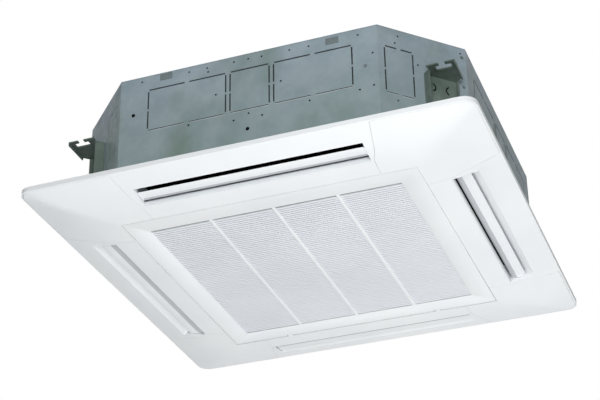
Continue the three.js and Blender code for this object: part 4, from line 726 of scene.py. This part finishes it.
def ring_tree():
    """A turned rim: a thin round lip along the edge of a hole."""
    tree, source = start_tree("punched_rims", Radius=0.002, Lip=0.0007)
    path = add_node(tree, "GeometryNodeCurvePrimitiveCircle", links={
        "Resolution": 16, "Radius": source.outputs["Radius"]})
    lip = add_node(tree, "GeometryNodeCurvePrimitiveCircle", links={
        "Resolution": 6, "Radius": source.outputs["Lip"]})
    rim = add_node(tree, "GeometryNodeCurveToMesh", links={
        "Curve": path.outputs[0], "Profile Curve": lip.outputs[0]})
    end_tree(tree, stamp_on_points(tree, rim.outputs[0]), casing_zinc)
    return tree


def cup_tree(name, material):
    """The inside of a hole: a thin disc."""
    tree, source = start_tree(name, Radius=0.002, Depth=0.0003)
    disc = add_node(tree, "GeometryNodeMeshCylinder", links={
        "Vertices": 16, "Radius": source.outputs["Radius"], "Depth": source.outputs["Depth"]})
    end_tree(tree, stamp_on_points(tree, disc.outputs[0]), material)
    return tree


SMALL_HOLE, LARGE_HOLE = 2.4, 4.4  # mm: radii
rims = ring_tree()
open_cups = cup_tree("open_cups", black_foam)
blind_cups = cup_tree("blind_cups", tab_steel)
for size, places, radius, cups in (
        ("small", small_holes, SMALL_HOLE, open_cups), ("large", large_holes, LARGE_HOLE, open_cups),
        ("blind", blind_holes, LARGE_HOLE, blind_cups)):
    base = marked_points(size + "_holes", places)
    run_tree(
        size + "_hole_rims", rims, "unit", "galvanised_sheet", base=base.copy(),
        Radius=radius * MM, Lip=0.5 * MM)
    run_tree(
        size + "_hole_cups", cups, "unit", "dark_steel", base=base.copy(),
        Radius=radius * MM, Depth=0.4 * MM)

# %% [markdown]
# ## Screws and tabs
# The side plates are joined to each other on the chamfers with a column of pan-head screws. The screw is
# one small turned shape with a cross recess, stamped by a tree. Two small tabs lie on the front under the
# top edge, where the parts inside are hooked in.

# %% Pan-head screws on the seams
def screw_tree():
    """A pan-head screw with a cross recess on every point."""
    tree, source = start_tree("pan_screws", Radius=0.0036, Height=0.0022)
    washer = add_node(tree, "GeometryNodeMeshCylinder", links={
        "Vertices": 18, "Radius": source.outputs["Radius"], "Depth": 0.0008})
    dome = add_node(tree, "GeometryNodeMeshUVSphere", links={
        "Segments": 18, "Rings": 8, "Radius": source.outputs["Radius"]})
    flat = add_node(tree, "ShaderNodeMath", {"operation": "DIVIDE"}, {
        0: source.outputs["Height"], 1: source.outputs["Radius"]})
    squeeze = add_node(tree, "ShaderNodeCombineXYZ", links={"X": 0.8, "Y": 0.8, "Z": flat.outputs[0]})
    head = add_node(tree, "GeometryNodeTransform", links={
        "Geometry": dome.outputs[0], "Scale": squeeze.outputs[0]})
    shapes = add_node(tree, "GeometryNodeJoinGeometry")
    tree.links.new(washer.outputs[0], shapes.inputs[0])
    tree.links.new(head.outputs[0], shapes.inputs[0])
    slots = add_node(tree, "GeometryNodeJoinGeometry")
    for size in ((0.0036, 0.0008, 0.002), (0.0008, 0.0036, 0.002)):
        bar = add_node(tree, "GeometryNodeMeshCube", links={"Size": size})
        lifted = add_node(tree, "GeometryNodeTransform", links={
            "Geometry": bar.outputs[0], "Translation": (0, 0, 0.0022)})
        tree.links.new(lifted.outputs[0], slots.inputs[0])
    cross = add_node(tree, "GeometryNodeMeshBoolean", {"operation": "DIFFERENCE"}, {
        "Mesh 1": shapes.outputs[0], "Mesh 2": slots.outputs[0]})
    end_tree(tree, stamp_on_points(tree, cross.outputs[0]), hanger_zinc)
    return tree


def chamfer_place(corner, along, height):
    """A place on a chamfer, at a height above the ceiling. Corner 0 is front right, then anticlockwise."""
    (x, y, _), (nx, ny, nz) = on_right_chamfer(along, 0)
    z = height + CEILING
    if corner in (1, 2):
        y, ny = -y, -ny
    if corner in (2, 3):
        x, nx = -x, -nx
    return (x, y, z), (nx, ny, nz)


SEAM_ALONG = 194  # mm: from the front plate to the seam
screws = [chamfer_place(corner, SEAM_ALONG, z) for corner in range(4) for z in (60, 150, 222)]
run_tree(
    "seam_screws", screw_tree(), "unit", "steel_pin",
    base=marked_points("screw_places", screws), Radius=3.6 * MM, Height=2.2 * MM)

# %% Tabs under the top edge
def bevelled_box(low, high, bevel_mm):
    """A box with rounded edges, from two corners in millimetres of the part frame."""
    form = bmesh.new()
    bmesh.ops.create_cube(form, size=1)
    bmesh.ops.transform(form, verts=form.verts, matrix=box_matrix(low, high))
    bmesh.ops.bevel(
        form, geom=form.edges[:], offset=bevel_mm * MM, segments=2, profile=0.5, affect="EDGES")
    return keep_mesh("box", form)


tab_boxes = [
    bevelled_box(
        (x0, -CASING_HALF - 1.2, z0 + PHOTO_ZERO), (x1, -CASING_HALF + 0.1, z1 + PHOTO_ZERO), 0.3)
    for x0, x1, z0, z1 in ((-190, -163, 236, 251), (171, 198, 232, 247))]
tabs = joined_piece("casing_tabs", tab_boxes, tab_steel)
print("two tabs,", len(tabs.data.polygons), "faces")

# %% [markdown]
# ## Dark lines of the knock-outs and of the grille
# Each punched slot of a knock-out is covered by a dark strip that reaches a little beyond it on both
# sides, as painted shade of the slot, so the line reads wider than the slot. Below the lower slots a light
# strip is a painted highlight on the zinc's edge. A narrow painted shadow line runs before the first slat
# of each column. All of these are thin strips, and a bump could not make them as crisp.

# %% Strips on the walls
def wall_strip(place, u0, u1, z0, z1, proud=0.15):
    """A thin strip on a wall: its corners in the wall's own millimetres, standing a little proud."""
    rings = []
    for lift in (proud, -0.3):
        corners = [place(u, z) for u, z in ((u0, z0), (u1, z0), (u1, z1), (u0, z1))]
        rings.append([Vector(point) + Vector(normal) * lift for point, normal in corners])
    return prism("strip", *rings)


def front_wall(u, z):
    """A place on the front plate, at a height above the ceiling."""
    return (u, -CASING_HALF, z + CEILING), (0, -1, 0)


def right_wall(u, z):
    """A place on the right plate, at a height above the ceiling."""
    return (CASING_HALF, u, z + CEILING), (1, 0, 0)


def right_chamfer(u, z):
    """A place on the front right chamfer, at a height above the ceiling."""
    return chamfer_place(0, u, z)


# painted shade over the punched slots, and a painted highlight below the lower ones
painted_slot_shade = moulded_plastic("knockout_painted_shade", "2a3032", "22282a", 0.7)
painted_highlight_zinc = zinc_sheet("knockout_painted_highlight", "c3cccf", "b3bcbf", "aab3b6", metallic=0.08)
SLOT, BRIDGE, SHADE_MARGIN = 1.6, 5, 0.7  # mm: the punched slot, the bridge between slots, the painted shade beside it
knockouts = [  # wall, from, to, bridges, lowest and highest line
    (wall, *span, 111, 210) for wall in (front_wall, right_wall)
    for span in ((-216, -43, 3), (-35, 51, 2), (59, 226, 3))]
knockouts.append((right_chamfer, 14, 79, 3, 90, 200))
slot_shade_strips, highlight_strips = [], []
for wall, start, stop, bridges, low, high in knockouts:
    across = (stop - start) / (bridges - 1)
    for i in range(bridges - 1):
        u0 = start + i * across + (BRIDGE if i else BRIDGE / 2)
        u1 = start + (i + 1) * across - (BRIDGE / 2 if i + 2 == bridges else BRIDGE)
        slot_shade_strips.append(wall_strip(wall, u0, u1, high - SLOT - SHADE_MARGIN, high + SHADE_MARGIN))
        slot_shade_strips.append(wall_strip(wall, u0, u1, low - SHADE_MARGIN / 2, low + SLOT))
        highlight_strips.append(wall_strip(wall, u0, u1, low - 1.6, low - SHADE_MARGIN / 2, 0.3))
    middle = (low + high) / 2
    for u in (start, stop - SLOT):
        for z0, z1 in ((low + BRIDGE, middle - BRIDGE / 2), (middle + BRIDGE / 2, high - BRIDGE)):
            slot_shade_strips.append(wall_strip(wall, u - SHADE_MARGIN, u + SLOT + SHADE_MARGIN, z0, z1))
joined_piece("knockout_slot_shade", slot_shade_strips, painted_slot_shade)
joined_piece("knockout_highlights", highlight_strips, painted_highlight_zinc)
print(len(slot_shade_strips), "dark strips and", len(highlight_strips), "light ones")

# %% Shadow lines before the slats
shadow_grey = moulded_plastic("grille_shadow_line", "6d7377", "666c70", 0.6)
shadow_boxes = [
    bevelled_box(
        (x - COLUMN_HALF, FIELD_FRONT, -188.2), (x + COLUMN_HALF, FIELD_FRONT + 2.4, -187.4), 0.1)
    for x in column_middles]
joined_piece("grille_shadow_lines", shadow_boxes, shadow_grey, "grille")
print(len(shadow_boxes), "shadow lines")

# %% [markdown]
# ## Curved slots in the hangers
# Each hanger is a pressed bracket. Two short curved slots are punched through its web, one bent against
# the other. Each is drawn as a dark bead along an arc, sunk to half its thickness in the web: the bead's
# black is painted shade in the slot.

# %% Curved slots
WEB_FACE = 2.7  # mm: from the chamfer to the face of the web
SLOT_HEIGHT, SLOT_REACH = 128, 9  # mm: the slots' middle height, and their reach up and down from it
slot_shade_rods = []
for corner in range(4):
    for middle, bulge in ((126, 6), (150, -6)):
        arc = []
        for step in range(9):
            t = -1 + step / 4
            point, normal = chamfer_place(
                corner, middle - bulge * t * t, SLOT_HEIGHT + SLOT_REACH * t)
            arc.append(Vector(point) + Vector(normal) * WEB_FACE)
        slot_shade_rods.append(tube(arc, 1.5))
# black beads in the slots: painted shade
joined_piece("hanger_slot_shade", slot_shade_rods, black_foam)
print(len(slot_shade_rods), "curved slots")

# %% [markdown]
# ## Camera
# The photograph looks up at the unit from the front and a little to the right. Its place, its turn and its
# lens come from fitting the panel's corners as a square, so the camera is set from those numbers.

# %% The photograph's camera
AZIMUTH, ELEVATION, ROLL = (math.radians(a) for a in (19.7, -29.8, -0.98))
AIM, DISTANCE = Vector((-0.01284, -0.07304, -0.0628)), 3.45239
back = Vector((
    math.sin(AZIMUTH) * math.cos(ELEVATION), -math.cos(AZIMUTH) * math.cos(ELEVATION),
    math.sin(ELEVATION)))
level = (-back).cross(Vector((0, 0, 1))).normalized()
upward = level.cross(-back)
right = math.cos(ROLL) * level + math.sin(ROLL) * upward
up = -math.sin(ROLL) * level + math.cos(ROLL) * upward
eye = AIM + back * DISTANCE
lens = bpy.data.cameras.new("camera")
lens.lens, lens.sensor_width = 95.73, 36
camera = bpy.data.objects.new("camera", lens)
camera.matrix_world = Matrix((
    (right.x, up.x, back.x, eye.x), (right.y, up.y, back.y, eye.y),
    (right.z, up.z, back.z, eye.z), (0, 0, 0, 1)))
scene.collection.objects.link(camera)
scene.camera = camera
print("camera at", [round(c, 3) for c in eye])

# %% [markdown]
# ## Light, floor and background
# The white background is the world, but only for rays from the camera and for reflections. The light on
# the object comes from soft lamps: a wide one below, which lights the panel's face, one in front on the
# right, which leaves the left chamfer in shade, and one above for the views from the top. The floor lies
# seven metres down, so that no view from below looks through it, and a glow that only the camera sees keeps
# it pale there without lighting the unit.

# %% World, lamps and floor
def soft_lamp(name, place, target, width, watts):
    """A square lamp that is turned to a target and isn't seen itself."""
    light = bpy.data.lights.new(name, "AREA")
    light.shape, light.size, light.size_y, light.energy = "RECTANGLE", width, width, watts
    lamp = bpy.data.objects.new(name, light)
    lamp.location = place
    lamp.rotation_euler = (Vector(target) - Vector(place)).to_track_quat("-Z", "Y").to_euler()
    lamp.visible_camera = False
    lamp.visible_glossy = False
    scene.collection.objects.link(lamp)
    return lamp


world = bpy.data.worlds.new("white_room")
world.use_nodes = True
sky = world.node_tree
sky.nodes.clear()
paths = add_node(sky, "ShaderNodeLightPath")
seen = add_node(sky, "ShaderNodeMath", {"operation": "MAXIMUM"}, {
    0: paths.outputs["Is Camera Ray"], 1: paths.outputs["Is Transmission Ray"]})
seen = add_node(sky, "ShaderNodeMath", {"operation": "MAXIMUM"}, {
    0: seen.outputs[0], 1: paths.outputs["Is Glossy Ray"]})
strength = add_node(sky, "ShaderNodeMapRange", links={
    "Value": seen.outputs[0], "To Min": 0.1, "To Max": 1.0})
air = add_node(sky, "ShaderNodeBackground", links={
    "Color": (1, 1, 1, 1), "Strength": strength.outputs[0]})
add_node(sky, "ShaderNodeOutputWorld", links={"Surface": air.outputs[0]})
scene.world = world

soft_lamp("lamp_below", (0.55, 0.1, -2.5), (0, 0, -0.15), 2.6, 60)
soft_lamp("lamp_front", (1.0, -3.15, -0.7), (0, 0, -0.05), 1.2, 73)
soft_lamp("lamp_above", (-0.8, 1.6, 3.0), (0, 0, 0), 2.5, 105)

FLOOR_HALF, FLOOR_HEIGHT = 18, -7  # metres
floor_mesh = bpy.data.meshes.new("floor")
floor_mesh.from_pydata([
    (x * FLOOR_HALF, y * FLOOR_HALF, FLOOR_HEIGHT) for x, y in ((-1, -1), (1, -1), (1, 1), (-1, 1))],
    [], [(0, 1, 2, 3)])
floor = bpy.data.objects.new("floor", floor_mesh)
scene.collection.objects.link(floor)
floor_paint, floor_tree, floor_shader, floor_place = start_material(
    "pale_floor", **{"Roughness": 0.8, "Specular IOR Level": 0.2})
floor_tone = blend_colours(
    floor_tree, noise(floor_tree, floor_place, 400), colour("f2f2f1"), colour("eeeeed"))
floor_tree.links.new(floor_tone, floor_shader.inputs["Base Color"])
floor_seen = add_node(floor_tree, "ShaderNodeLightPath")
floor_glow = add_node(floor_tree, "ShaderNodeMath", {"operation": "MULTIPLY"}, {
    0: floor_seen.outputs["Is Camera Ray"], 1: 0.7})
floor_shader.inputs["Emission Color"].default_value = colour("f7f7f6")
floor_tree.links.new(floor_glow.outputs[0], floor_shader.inputs["Emission Strength"])
floor_mesh.materials.append(floor_paint)
scene.view_settings.view_transform = "Standard"
